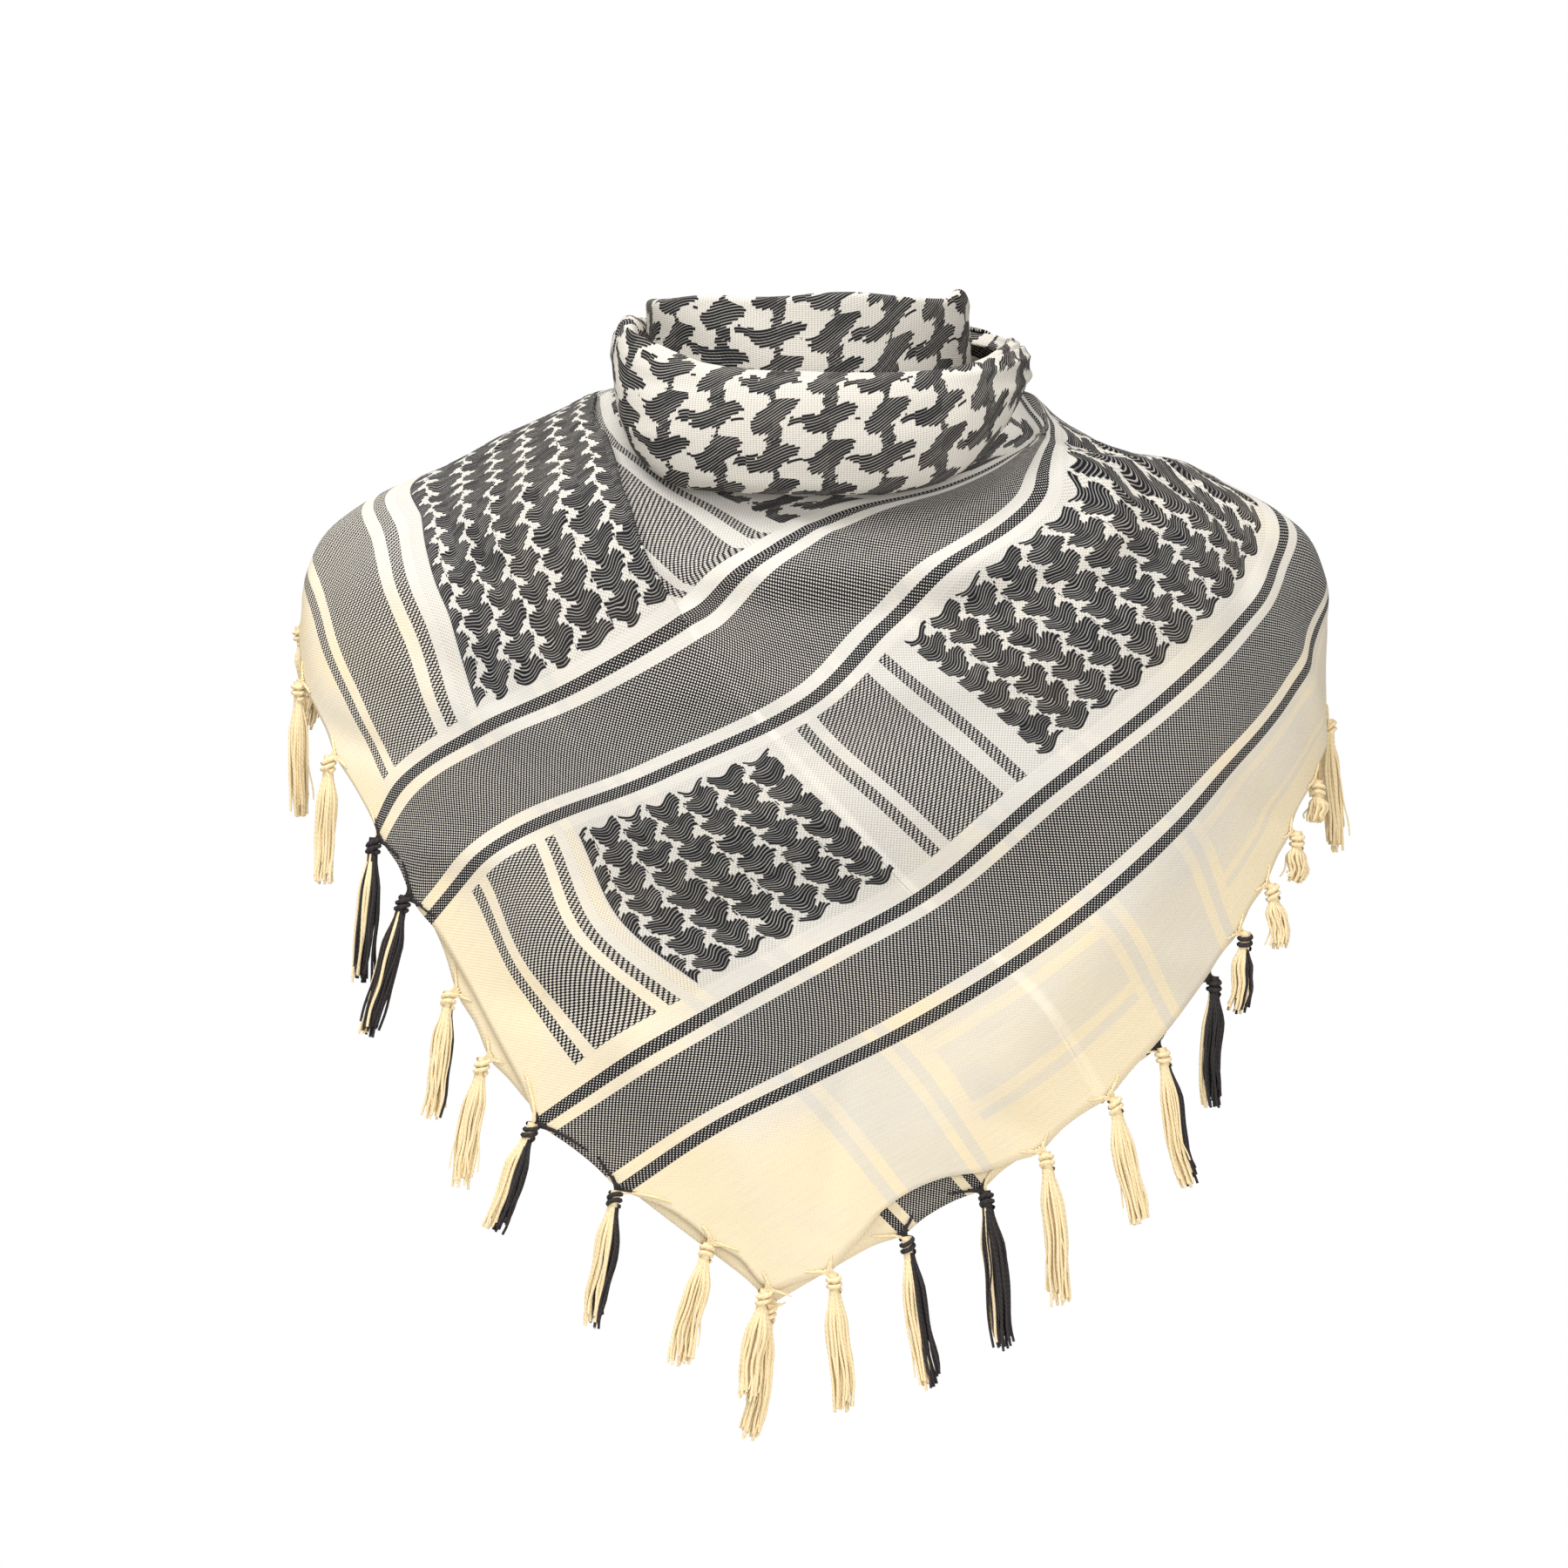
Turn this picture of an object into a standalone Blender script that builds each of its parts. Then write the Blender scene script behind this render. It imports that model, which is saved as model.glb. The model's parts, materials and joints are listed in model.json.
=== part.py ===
"""Keffiyeh scarf, folded on its diagonal and worn round the neck with its point in front.

Metres, +Z up, the wearer faces -Y. The origin is the middle of the neck at the height of the
shoulders. Tables are in millimetres and degrees, and MM turns them to metres.
"round" is the angle about the body's upright axis: 0 in front, -90 at the left of the front view,
90 at its right and 180 at the nape.
"""

import math

import bmesh
import bpy
import numpy as np

for old in list(bpy.data.objects):
    bpy.data.objects.remove(old, do_unlink=True)

MM = 0.001

CLOTH_WALL = 1.6
LAYER_GAP = 1.1
CLOTH_REACH = 740.0
LAST_LINE = 700.0
UPPER_LAYER_CELLS = (42, 34)
LOWER_LAYER_CELLS = (28, 22)
SEAM_GAP = 0.35
LOWER_LAYER_TUCK = 7.0

# The figure that the cloth hangs on: height, half width at the left and right of the front view,
# depth in front of and behind the neck's axis.
BODY = [
    (40, 80, 80, 55, 60),
    (24, 84, 84, 57, 62),
    (13, 92, 92, 58, 63),
    (10, 101, 101, 60, 64),
    (6, 108, 106, 61, 65),
    (0, 116, 112, 63, 67),
    (-10, 134, 126, 66, 69),
    (-20, 155, 143, 70, 73),
    (-30, 175, 168, 75, 77),
    (-40, 196, 198, 80, 81),
    (-55, 217, 223, 88, 87),
    (-75, 233, 234, 98, 94),
    (-100, 241, 237, 108, 101),
    (-150, 244, 239, 119, 107),
    (-200, 244, 239, 125, 110),
    (-300, 242, 239, 130, 111),
    (-460, 240, 239, 130, 111),
]
# How boxy the plan is at each height: the power that the cosine takes.
PLAN_POWER = [(40, 1.1), (0, 1.3), (-20, 1.35), (-60, 1.15), (-120, 1.0), (-460, 1.0)]

# The cloth's lines parallel to its lower right hem, one row for each, by their distance in from it.
# Each row holds (distance in from the left hem, round, height) at the stripes that cross it, and
# ends where the line goes under the neck roll.
LINES = [
    (0, [(0, -4, -408), (60, 6, -384), (120, 17, -359), (180, 28, -331), (246, 42, -288),
         (301, 52, -248), (368, 65, -200), (410, 74, -172), (450, 88, -143), (540, 113, -100),
         (640, 138, -48), (740, 160, 8)]),
    (80, [(0, -21, -357), (60, -9, -325), (102, 0, -306), (154, 11, -283), (206, 22, -256),
          (246, 30, -234), (312, 44, -192), (347, 51, -170), (415, 67, -132), (486, 82, -95),
          (540, 100, -66), (600, 122, -28), (660, 145, 10)]),
    (126, [(0, -31, -327), (62, -17, -292), (154, 1, -249), (206, 12, -224), (287, 27, -175),
           (362, 44, -130), (425, 59, -92), (479, 72, -60), (520, 88, -37), (565, 106, -16),
           (614, 124, 8)]),
    (180, [(0, -39, -291), (36, -33, -258), (100, -20, -234), (154, -8, -209), (206, 3, -184),
           (287, 18, -136), (394, 42, -70), (445, 62, -40), (490, 86, -16), (560, 106, 12)]),
    (237, [(0, -47, -236), (36, -39, -209), (154, -16, -167), (232, 0, -133), (287, 8, -99),
           (330, 16, -72), (400, 40, -28), (440, 64, -7), (503, 90, 12)]),
    (293, [(0, -56, -190), (36, -52, -171), (102, -38, -143), (154, -26, -123), (197, -16, -100),
           (249, -9, -76), (275, -4, -61), (313, 4, -46), (348, 15, -38), (388, 35, -23),
           (420, 56, -9), (447, 64, 8)]),
    (347, [(0, -69, -146), (36, -62, -128), (102, -45, -92), (154, -35, -70), (197, -26, -49),
           (230, -19, -42), (271, -10, -36), (330, 8, -28), (393, 38, -4)]),
    (405, [(0, -87, -104), (36, -76, -85), (102, -60, -50), (154, -52, -30), (197, -43, -16),
           (240, -36, -10), (335, -14, -10)]),
    (445, [(0, -98, -88), (30, -90, -73), (91, -80, -42), (154, -70, -16), (200, -66, 2),
           (240, -56, 9), (295, -40, 2)]),
    (480, [(0, -107, -80), (53, -97, -54), (91, -92, -34), (150, -89, -8), (200, -82, 9),
           (260, -64, 11)]),
    (560, [(0, -127, -52), (60, -121, -34), (120, -115, -8), (180, -100, 13)]),
    (640, [(0, -143, -20), (100, -128, 11)]),
    (700, [(0, -153, -4), (40, -148, 10)]),
]

# The pleat at the left of the neck: its upper layer's edge in the front view, x and height, and how
# far it stands proud there.
PLEAT = [(-103, 8, 1.0), (-101, -12, 7.0), (-94, -44, 9.0), (-86, -64, 8.5), (-72, -85, 7.0),
         (-46, -114, 4.5), (-14, -136, 1.5)]
# How far the upper layer's hems fall short of the lower layer's, by the distance from the point.
SHORT_LEFT = [(0, 5), (30, 8), (64, 5), (84, 0), (128, 0), (150, 4), (190, 7), (222, 3), (240, 0), (740, 0)]
SHORT_RIGHT = [(0, 5), (26, 2), (60, 5), (84, 12), (118, 11), (136, 4), (160, 0), (740, 0)]
PLEAT_REACH = 45.0
PLEAT_DROP = 8.0

# Ridges of the upper layer: the round and height of three points along each, width and how proud.
RIDGES = [
    ("crease_below_roll", (-20, -72), (4, -90), (36, -60), 15, 8.0),
    ("crease_right_of_neck", (36, -34), (62, -26), (84, -34), 11, 7.0),
    ("right_shoulder_ridge", (62, -10), (78, -42), (86, -96), 16, 6.0),
    ("right_neck_fold", (50, -16), (44, -36), (32, -70), 11, 6.0),
    ("left_shoulder_ridge", (-76, -10), (-84, -42), (-86, -90), 16, 5.0),
    ("left_chest_swag", (-62, -58), (-46, -104), (-26, -122), 18, 4.5),
    ("chest_swag", (-30, -176), (4, -196), (40, -168), 26, 5.0),
    ("lower_left_fold", (-40, -190), (-22, -262), (-10, -350), 20, 6.0),
    ("lower_right_fold", (52, -150), (34, -236), (14, -330), 22, 5.0),
    ("back_left_gather_high", (-104, -16), (-122, -22), (-140, -4), 11, 6.0),
    ("back_left_gather_low", (-98, -62), (-118, -50), (-142, -18), 13, 7.0),
    ("back_right_gather_high", (104, -14), (122, -16), (142, -2), 11, 6.0),
    ("back_right_gather_low", (98, -84), (120, -60), (142, -22), 14, 7.0),
]

# The roll round the neck: round, height of its lower and upper edge, how far out, and its thickness.
ROLL = [
    (-180, 14, 48, 84, 22),
    (-135, 13, 48, 87, 20),
    (-110, 13.8, 48, 90, 16),
    (-90, 13.8, 46, 94, 17),
    (-80, 7.5, 43, 95, 17),
    (-71, -9.5, 38, 97, 14),
    (-61, -23, 32, 99, 18),
    (-50, -33, 26, 99, 21),
    (-25, -39, 18, 100, 24),
    (0, -40, 16, 101, 24),
    (25, -39, 16, 101, 24),
    (42, -33, 18, 101, 22),
    (55, -22, 22, 101, 19),
    (66, -8, 27, 101, 15),
    (77, 5.6, 31, 101, 12),
    (90, 13.8, 34, 99, 13),
    (110, 13.8, 40, 94, 15),
    (135, 14, 46, 89, 20),
    (180, 14, 48, 84, 22),
]
ROLL_DEPTH_FRONT = 102.0
ROLL_DEPTH_BACK = 92.0
ROLL_PLAN_POWER = 0.5
ROLL_TURNED_FROM = -100.0
ROLL_TURNED_TO = 140.0
ROLL_ROUND = 52
ROLL_STEPS = 8

# The inner roll: round, height of its folded top and of its hidden lower edge.
COLLAR = [
    (-180, 50, 16), (-140, 51, 16), (-95, 52, 17), (-60, 53, 16), (-40, 53, 10), (-20, 52, 0),
    (20, 52, 0), (40, 52, 10), (60, 52, 16), (78, 56, 16), (100, 52, 17), (140, 50, 16),
    (180, 50, 16),
]
COLLAR_CENTRE = -3.0
COLLAR_HALF_WIDTH = 75.5
COLLAR_FRONT = 75.0
COLLAR_BACK = 66.0
COLLAR_PLAN_POWER = 0.7
COLLAR_FOLD = 6.0
COLLAR_ROUND = 40

# The wound ends where they cross behind the neck: the angles on the roll that they cover.
NAPE_FROM = 112.0
NAPE_TO = 248.0
NAPE_STEPS = 16

# Tassels: layer, hem, distance along it from the point, and where the tip hangs from the root in the
# front view: across and down.
TASSELS = [
    ("lower", "left", 416, 7, -30),
    ("upper", "left", 374, 3, -59), ("upper", "left", 330, -1, -56), ("upper", "left", 284, -4, -63),
    ("upper", "left", 251, -14, -60), ("lower", "left", 205, -7, -54),
    ("lower", "left", 172, -10, -55), ("upper", "left", 128, -16, -45),
    ("upper", "left", 82, -9, -58), ("upper", "left", 40, -12, -52), ("upper", "left", 9, -8, -46),
    ("lower", "left", 2, -8, -57),
    ("upper", "right", 36, 4, -59), ("lower", "right", 80, 9, -65), ("lower", "right", 128, 8, -68),
    ("upper", "right", 166, 7, -65), ("upper", "right", 208, 9, -54),
    ("lower", "right", 240, 10, -60), ("lower", "right", 284, -3, -56),
    ("upper", "right", 312, -5, -34), ("upper", "right", 342, 2, -26),
    ("upper", "right", 376, -3, -20), ("upper", "right", 412, -3, -16),
]
# The tassels knotted from the dark bands' yarns, by their place in the table.
BLACK_TASSELS = (3, 4, 14, 18)
# The fringe of the two hems behind the shoulders: its tassels hang from a narrow strip of yarn.
BACK_FRINGE = {
    "fringe_back_left": ("left", (458, 500, 542, 584, 626)),
    "fringe_back_right": ("right", (452, 494, 536, 578, 620, 662)),
}
STRIP_RADIUS = 0.9
STRIP_STEP = 12.0
KNOT_RADIUS = 2.6
KNOT_LENGTH = 7.0
STRANDS = 5
STRAND_RADIUS = 1.0
TASSEL_SPREAD = 5.5


def smooth_at(x, xs, ys):
    """Smooth curve through the points (xs rising, ys), with ys of any width."""
    xs = np.asarray(xs, float)
    ys = np.asarray(ys, float)
    slopes = np.gradient(ys, xs, axis=0)
    x = np.clip(np.asarray(x, float), xs[0], xs[-1])
    at = np.clip(np.searchsorted(xs, x, side="right") - 1, 0, len(xs) - 2)
    step = xs[at + 1] - xs[at]
    t = (x - xs[at]) / step
    if ys.ndim == 2:
        t = t[..., None]
        step = step[..., None]
    low = (1 + 2 * t) * (1 - t) ** 2 * ys[at] + t * (1 - t) ** 2 * step * slopes[at]
    high = t * t * (3 - 2 * t) * ys[at + 1] + t * t * (t - 1) * step * slopes[at + 1]
    return low + high


def table_at(x, rows):
    """The columns of a table at x, which is its first column, in rising or falling order."""
    rows = np.asarray(rows, float)
    if rows[0, 0] > rows[-1, 0]:
        rows = rows[::-1]
    return smooth_at(x, rows[:, 0], rows[:, 1:])


def on_body(round_deg, height):
    """Points of the draped figure, as (..., 3) in millimetres."""
    left, right, front, back = np.moveaxis(table_at(height, BODY), -1, 0)
    power = table_at(height, PLAN_POWER)[..., 0]
    angle = np.radians(round_deg)
    side = np.sin(angle)
    ahead = np.cos(angle)
    blend = 0.5 + 0.5 * np.tanh(side / 0.12)
    half = left + (right - left) * blend
    deep = np.where(ahead > 0, front, back)
    along = np.sign(ahead) * np.abs(ahead) ** power
    return np.stack([half * side, -deep * along, height * np.ones_like(side)], axis=-1)


def outward(round_deg, height):
    """Unit normals of the draped figure."""
    across = on_body(round_deg + 0.5, height) - on_body(round_deg - 0.5, height)
    up = on_body(round_deg, height + 0.5) - on_body(round_deg, height - 0.5)
    normal = np.cross(across, up)
    return normal / np.linalg.norm(normal, axis=-1, keepdims=True)


def cloth_place(share, line):
    """(round, height) of the cloth at a share of each line's length, for lines in from the hem."""
    shares = np.ravel(share)
    lines = np.ravel(line)
    stations = [row[0] for row in LINES]
    found = []
    for distance, points in LINES:
        reach = CLOTH_REACH - distance
        found.append(table_at(np.clip(shares * reach, 0, points[-1][0]), points))
    found = np.array(found)
    places = []
    for index in range(len(shares)):
        places.append(smooth_at(lines[index], stations, found[:, index]))
    return np.array(places).reshape(np.shape(share) + (2,))


def away_from_path(points, path):
    """Distance from each point to a polyline, and the share of the path's length where it is met."""
    best = np.full(points.shape[:-1], 1e9)
    share = np.zeros(points.shape[:-1])
    side = np.zeros(points.shape[:-1])
    for index in range(len(path) - 1):
        start = path[index]
        run = path[index + 1] - start
        t = np.clip(((points - start) @ run) / (run @ run), 0, 1)
        gap = points - (start + t[..., None] * run)
        distance = np.linalg.norm(gap, axis=-1)
        nearer = distance < best
        best = np.where(nearer, distance, best)
        share = np.where(nearer, (index + t) / (len(path) - 1), share)
        if points.shape[-1] == 2:
            turned = run[0] * gap[..., 1] - run[1] * gap[..., 0]
            side = np.where(nearer, np.sign(turned), side)
    return best, share, side


def fold_height(round_deg, height):
    """How far the upper layer's folds stand proud of the draped figure."""
    points = on_body(round_deg, height)
    proud = np.zeros(points.shape[:-1])
    for _, first, middle, last, width, tall in RIDGES:
        t = np.linspace(0, 1, 9)[:, None]
        path = (1 - t) ** 2 * np.array(first) + 2 * t * (1 - t) * np.array(middle)
        path = path + t * t * np.array(last)
        distance, share, _ = away_from_path(points, on_body(path[:, 0], path[:, 1]))
        fade = np.sin(np.pi * np.clip(0.12 + 0.76 * share, 0, 1))
        proud = proud + tall * fade * np.exp(-((distance / width) ** 2))
    edge = np.array(PLEAT, float)
    distance, share, side = away_from_path(points[..., [0, 2]], edge[:, :2])
    tall = np.interp(share, np.linspace(0, 1, len(edge)), edge[:, 2])
    reach = np.where(side < 0, PLEAT_REACH, PLEAT_DROP)
    in_front = points[..., 1] < 0
    return proud + in_front * tall * np.exp(-((distance / reach) ** 2))


def solid_from_grid(name, outer, inner, colour, closed_round=False):
    """A closed wall between two grids of points of the same shape, as an object."""
    rows, columns = outer.shape[:2]
    points = np.concatenate([outer.reshape(-1, 3), inner.reshape(-1, 3)]) * MM
    behind = rows * columns
    faces = []
    last = columns if closed_round else columns - 1
    for row in range(rows - 1):
        for column in range(last):
            a = row * columns + column
            b = row * columns + (column + 1) % columns
            c = b + columns
            d = a + columns
            faces.append((a, b, c, d))
            faces.append((behind + d, behind + c, behind + b, behind + a))
    for column in range(last):
        a = column
        b = (column + 1) % columns
        faces.append((behind + a, behind + b, b, a))
        a = a + (rows - 1) * columns
        b = b + (rows - 1) * columns
        faces.append((a, b, behind + b, behind + a))
    if not closed_round:
        for row in range(rows - 1):
            a = row * columns
            d = a + columns
            faces.append((a, d, behind + d, behind + a))
            b = a + columns - 1
            c = b + columns
            faces.append((behind + b, behind + c, c, b))
    return object_from(name, points, faces, colour)


def object_from(name, points, faces, colour):
    mesh = bpy.data.meshes.new(name)
    mesh.from_pydata([tuple(point) for point in points], [], faces)
    work = bmesh.new()
    work.from_mesh(mesh)
    bmesh.ops.recalc_face_normals(work, faces=work.faces)
    if work.calc_volume(signed=True) < 0:
        bmesh.ops.reverse_faces(work, faces=work.faces)
    bmesh.ops.triangulate(work, faces=work.faces)
    work.to_mesh(mesh)
    work.free()
    mesh.shade_smooth()
    mesh.set_sharp_from_angle(angle=math.radians(50))
    made = bpy.data.objects.new(name, mesh)
    bpy.context.scene.collection.objects.link(made)
    material = bpy.data.materials.new(name + "_cotton")
    material.use_nodes = True
    shader = material.node_tree.nodes["Principled BSDF"]
    shader.inputs["Base Color"].default_value = (*colour, 1)
    shader.inputs["Roughness"].default_value = 0.9
    shader.inputs["Metallic"].default_value = 0.0
    mesh.materials.append(material)
    made.parent = body
    return made


def tucked(places):
    """The lower layer's places: it ends a little lower under the neck roll than the upper layer."""
    tuck = LOWER_LAYER_TUCK * np.clip((places[..., 1] + 25) / 30, 0, 1)
    return places[..., 0], places[..., 1] - tuck


def bib_grids(layer):
    across, up = UPPER_LAYER_CELLS if layer == "upper" else LOWER_LAYER_CELLS
    share, line = np.meshgrid(np.linspace(0, 1, across + 1), np.linspace(0, LAST_LINE, up + 1))
    if layer == "upper":
        left = table_at(line[:, 0], SHORT_LEFT)[:, 0] / (CLOTH_REACH - line[:, 0])
        line[0] = table_at(share[0] * CLOTH_REACH, SHORT_RIGHT)[:, 0]
        share[:, 0] = left
    places = cloth_place(share, line)
    return layer_points(places, layer)


def layer_points(places, layer):
    """The outer and inner face of the upper or the lower layer at the given places."""
    if layer == "upper":
        angle, height = places[..., 0], places[..., 1]
        out = fold_height(angle, height)
    else:
        angle, height = tucked(places)
        out = np.full(angle.shape, -CLOTH_WALL - LAYER_GAP)
    normal = outward(angle, height)
    outer = on_body(angle, height) + normal * out[..., None]
    return outer, outer - normal * CLOTH_WALL


def plan_point(angle_deg, half, front, back, power, centre):
    """A point of a boxy ring in plan, and the way that points out of it there."""
    angle = np.radians(angle_deg)
    side = np.sin(angle)
    ahead = np.cos(angle)
    deep = np.where(ahead > 0, front, back)
    x = centre + half * side
    y = -deep * np.sign(ahead) * np.abs(ahead) ** power
    out = np.stack([side / half, -ahead / deep], axis=-1)
    out = out / np.linalg.norm(out, axis=-1, keepdims=True)
    return np.stack([x, y], axis=-1), out


def roll_grid(angles, turned, proud):
    """Rows along the section of the neck roll, columns round it."""
    low, high, half, thick = np.moveaxis(table_at(angles, ROLL), -1, 0)
    plan, out = plan_point(
        angles, half, ROLL_DEPTH_FRONT, ROLL_DEPTH_BACK, ROLL_PLAN_POWER, 0.0
    )
    rows = []
    for turn in np.radians(turned):
        inward = thick / 2 * (math.cos(turn) - 1) + proud * math.cos(turn)
        height = (low + high) / 2 + ((high - low) / 2 + proud) * math.sin(turn)
        rows.append(np.concatenate([plan + out * inward[:, None], height[:, None]], axis=1))
    return np.array(rows)


def collar_grid(angles, inset):
    """Rows from the outer wall's lower edge over the fold to the inner wall's lower edge."""
    top, low = np.moveaxis(table_at(angles, COLLAR), -1, 0)
    plan, out = plan_point(
        angles, COLLAR_HALF_WIDTH, COLLAR_FRONT, COLLAR_BACK, COLLAR_PLAN_POWER, COLLAR_CENTRE
    )
    radius = COLLAR_FOLD / 2
    rows = []
    for share in (0.0, 0.5, 1.0):
        height = low + (top - radius - low) * share
        rows.append((np.full(len(angles), -inset), height))
    for turn in (40, 90, 140):
        turn = math.radians(turn)
        reach = radius - inset
        across = -radius + reach * math.cos(turn)
        rows.append((np.full(len(angles), across), top - radius + reach * math.sin(turn)))
    for share in (1.0, 0.5, 0.1):
        height = low + (top - radius - low) * share
        rows.append((np.full(len(angles), -COLLAR_FOLD + inset), height))
    grid = []
    for across, height in rows:
        grid.append(np.concatenate([plan + out * across[:, None], height[:, None]], axis=1))
    return np.array(grid)


def hem_lines():
    """The two hems of each layer as the mesh has them: distances, outer face and inner face."""
    found = {}
    for layer in ("upper", "lower"):
        outer, inner = bib_grids(layer)
        up, across = outer.shape[:2]
        found[layer, "left"] = (np.linspace(0, LAST_LINE, up), outer[:, :2], inner[:, :2])
        found[layer, "right"] = (
            np.linspace(0, CLOTH_REACH, across),
            np.swapaxes(outer[:2], 0, 1),
            np.swapaxes(inner[:2], 0, 1),
        )
    return found


def hem_point(layer, hem, distance):
    """A point on a hem's outer face, the way out past the hem and the way out of the cloth."""
    distances, outer, inner = HEMS[layer, hem]
    at = min(int(np.searchsorted(distances, distance, side="right")) - 1, len(distances) - 2)
    share = (distance - distances[at]) / (distances[at + 1] - distances[at])
    edge = outer[at] * (1 - share) + outer[at + 1] * share
    behind = inner[at] * (1 - share) + inner[at + 1] * share
    normal = edge[0] - behind[0]
    normal = normal / np.linalg.norm(normal)
    past = np.cross(outer[at + 1, 0] - outer[at, 0], normal)
    past = past / np.linalg.norm(past)
    if past @ (edge[1] - edge[0]) > 0:
        past = -past
    return edge[0], past, normal


def yarn_strip(name, hem, first, last, colour):
    """A narrow strip of yarn along a hem of the upper layer, parted from its edge."""
    points = []
    faces = []
    count = int((last - first) / STRIP_STEP) + 1
    for distance in np.linspace(first, last, count):
        edge, past, normal = hem_point("upper", hem, distance)
        middle = edge + past * (STRIP_RADIUS + SEAM_GAP + 0.1) - normal * STRIP_RADIUS * 0.5
        for across, out in ((1, 1), (1, -1), (-1, -1), (-1, 1)):
            points.append(middle + (past * across + normal * out) * STRIP_RADIUS)
    for row in range(count - 1):
        low = row * 4
        for corner in range(4):
            after = (corner + 1) % 4
            faces.append((low + corner, low + 4 + corner, low + 4 + after, low + after))
    faces.append((0, 1, 2, 3))
    last_ring = (count - 1) * 4
    faces.append((last_ring + 3, last_ring + 2, last_ring + 1, last_ring))
    return object_from(name, np.array(points) * MM, faces, colour)


def back_fringe(name, hem, distances, colour):
    """Tassels behind a shoulder, joined to their strip."""
    strip = yarn_strip(name, hem, distances[0] - 14, distances[-1] + 14, colour)
    knots = bpy.data.collections.new(name + "_knots")
    bpy.context.scene.collection.children.link(knots)
    for index, distance in enumerate(distances):
        length = -56 + 2 * (index % 3 - 1)
        made = tassel("%s_%d" % (name, index), "upper", hem, distance, 0, length, colour)
        bpy.context.scene.collection.objects.unlink(made)
        knots.objects.link(made)
        made.hide_render = True
        made.display_type = "WIRE"
    union = strip.modifiers.new("join_tassels", "BOOLEAN")
    union.operation = "UNION"
    union.operand_type = "COLLECTION"
    union.collection = knots
    union.solver = "EXACT"
    return strip


def tassel(name, layer, hem, distance, across, down, colour):
    """A knot with strands hanging from it, just past a hem."""
    edge, past, normal = hem_point(layer, hem, distance)
    root = edge + past * (KNOT_RADIUS * 0.9 + SEAM_GAP) + normal * 1.0
    tip = root + np.array([across, 0.0, down]) + normal * np.array([3.0, 3.0, 0.0])
    axis = (tip - root) / np.linalg.norm(tip - root)
    first = np.cross(axis, normal)
    first = first / np.linalg.norm(first)
    second = np.cross(axis, first)
    points = []
    faces = []

    def ring(along, radius, turn=0.0):
        start = len(points)
        for index in range(STRANDS):
            angle = 2 * math.pi * index / STRANDS + turn
            way = first * math.cos(angle) + second * math.sin(angle)
            points.append(root + axis * along + way * radius)
        return start

    rings = [
        ring(-KNOT_RADIUS * 0.8, KNOT_RADIUS * 0.55),
        ring(KNOT_LENGTH * 0.25, KNOT_RADIUS),
        ring(KNOT_LENGTH * 0.75, KNOT_RADIUS * 0.75),
    ]
    faces.append(tuple(range(rings[0], rings[0] + STRANDS)))
    for low, high in zip(rings[:-1], rings[1:]):
        for index in range(STRANDS):
            after = (index + 1) % STRANDS
            faces.append((low + index, high + index, high + after, low + after))
    centre = len(points)
    points.append(root + axis * KNOT_LENGTH)
    length = np.linalg.norm(tip - root)
    for index in range(STRANDS):
        after = (index + 1) % STRANDS
        angle = 2 * math.pi * (index + 0.5) / STRANDS
        way = first * math.cos(angle) + second * math.sin(angle)
        base = [rings[-1] + index, rings[-1] + after, centre]
        reach = length * (1.0 - 0.06 * ((index * 3) % STRANDS) / STRANDS)
        for share, spread, radius in ((0.45, 0.55, 1.0), (1.0, 1.0, 0.55)):
            middle = root + axis * (KNOT_LENGTH + (reach - KNOT_LENGTH) * share)
            middle = middle + way * TASSEL_SPREAD * spread
            new = []
            for corner in range(3):
                turn = angle + math.radians((-60, 60, 180)[corner])
                lean = first * math.cos(turn) + second * math.sin(turn)
                new.append(len(points))
                points.append(middle + lean * STRAND_RADIUS * radius)
            for corner in range(3):
                other = (corner + 1) % 3
                faces.append((base[corner], base[other], new[other], new[corner]))
            base = new
        faces.append(tuple(base))
    return object_from(name, np.array(points) * MM, faces, colour)


body = bpy.data.objects.new("worn_scarf", None)
bpy.context.scene.collection.objects.link(body)

GREY_CHECK = (0.42, 0.39, 0.35)
CREAM = (0.86, 0.76, 0.57)
BLACK_YARN = (0.05, 0.045, 0.045)

HEMS = hem_lines()

for layer, name in (("upper", "bib_outer"), ("lower", "bib_inner")):
    outer_face, inner_face = bib_grids(layer)
    solid_from_grid(name, outer_face, inner_face, GREY_CHECK)

round_roll = np.linspace(-180, 180, ROLL_ROUND, endpoint=False)
turns = np.linspace(ROLL_TURNED_FROM, ROLL_TURNED_TO, ROLL_STEPS)
solid_from_grid(
    "neck_roll",
    roll_grid(round_roll, turns, 0.0),
    roll_grid(round_roll, turns, -CLOTH_WALL),
    GREY_CHECK,
    closed_round=True,
)
round_collar = np.linspace(-180, 180, COLLAR_ROUND, endpoint=False)
solid_from_grid(
    "collar_inner",
    collar_grid(round_collar, 0.0),
    collar_grid(round_collar, CLOTH_WALL),
    GREY_CHECK,
    closed_round=True,
)

nape_share = np.linspace(0, 1, NAPE_STEPS + 1)
nape_angles = NAPE_FROM + (NAPE_TO - NAPE_FROM) * nape_share
nape_angles = np.where(nape_angles > 180, nape_angles - 360, nape_angles)
nape_turns = np.linspace(-70, 100, 8)
solid_from_grid(
    "nape_band",
    roll_grid(nape_angles, nape_turns, 0.5 + CLOTH_WALL),
    roll_grid(nape_angles, nape_turns, 0.5),
    GREY_CHECK,
)

for index, (layer, hem, distance, across, down) in enumerate(TASSELS):
    tone = BLACK_YARN if index in BLACK_TASSELS else CREAM
    tassel("tassel_%02d" % index, layer, hem, distance, across, down, tone)
for name, (hem, distances) in BACK_FRINGE.items():
    back_fringe(name, hem, distances, CREAM)
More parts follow.
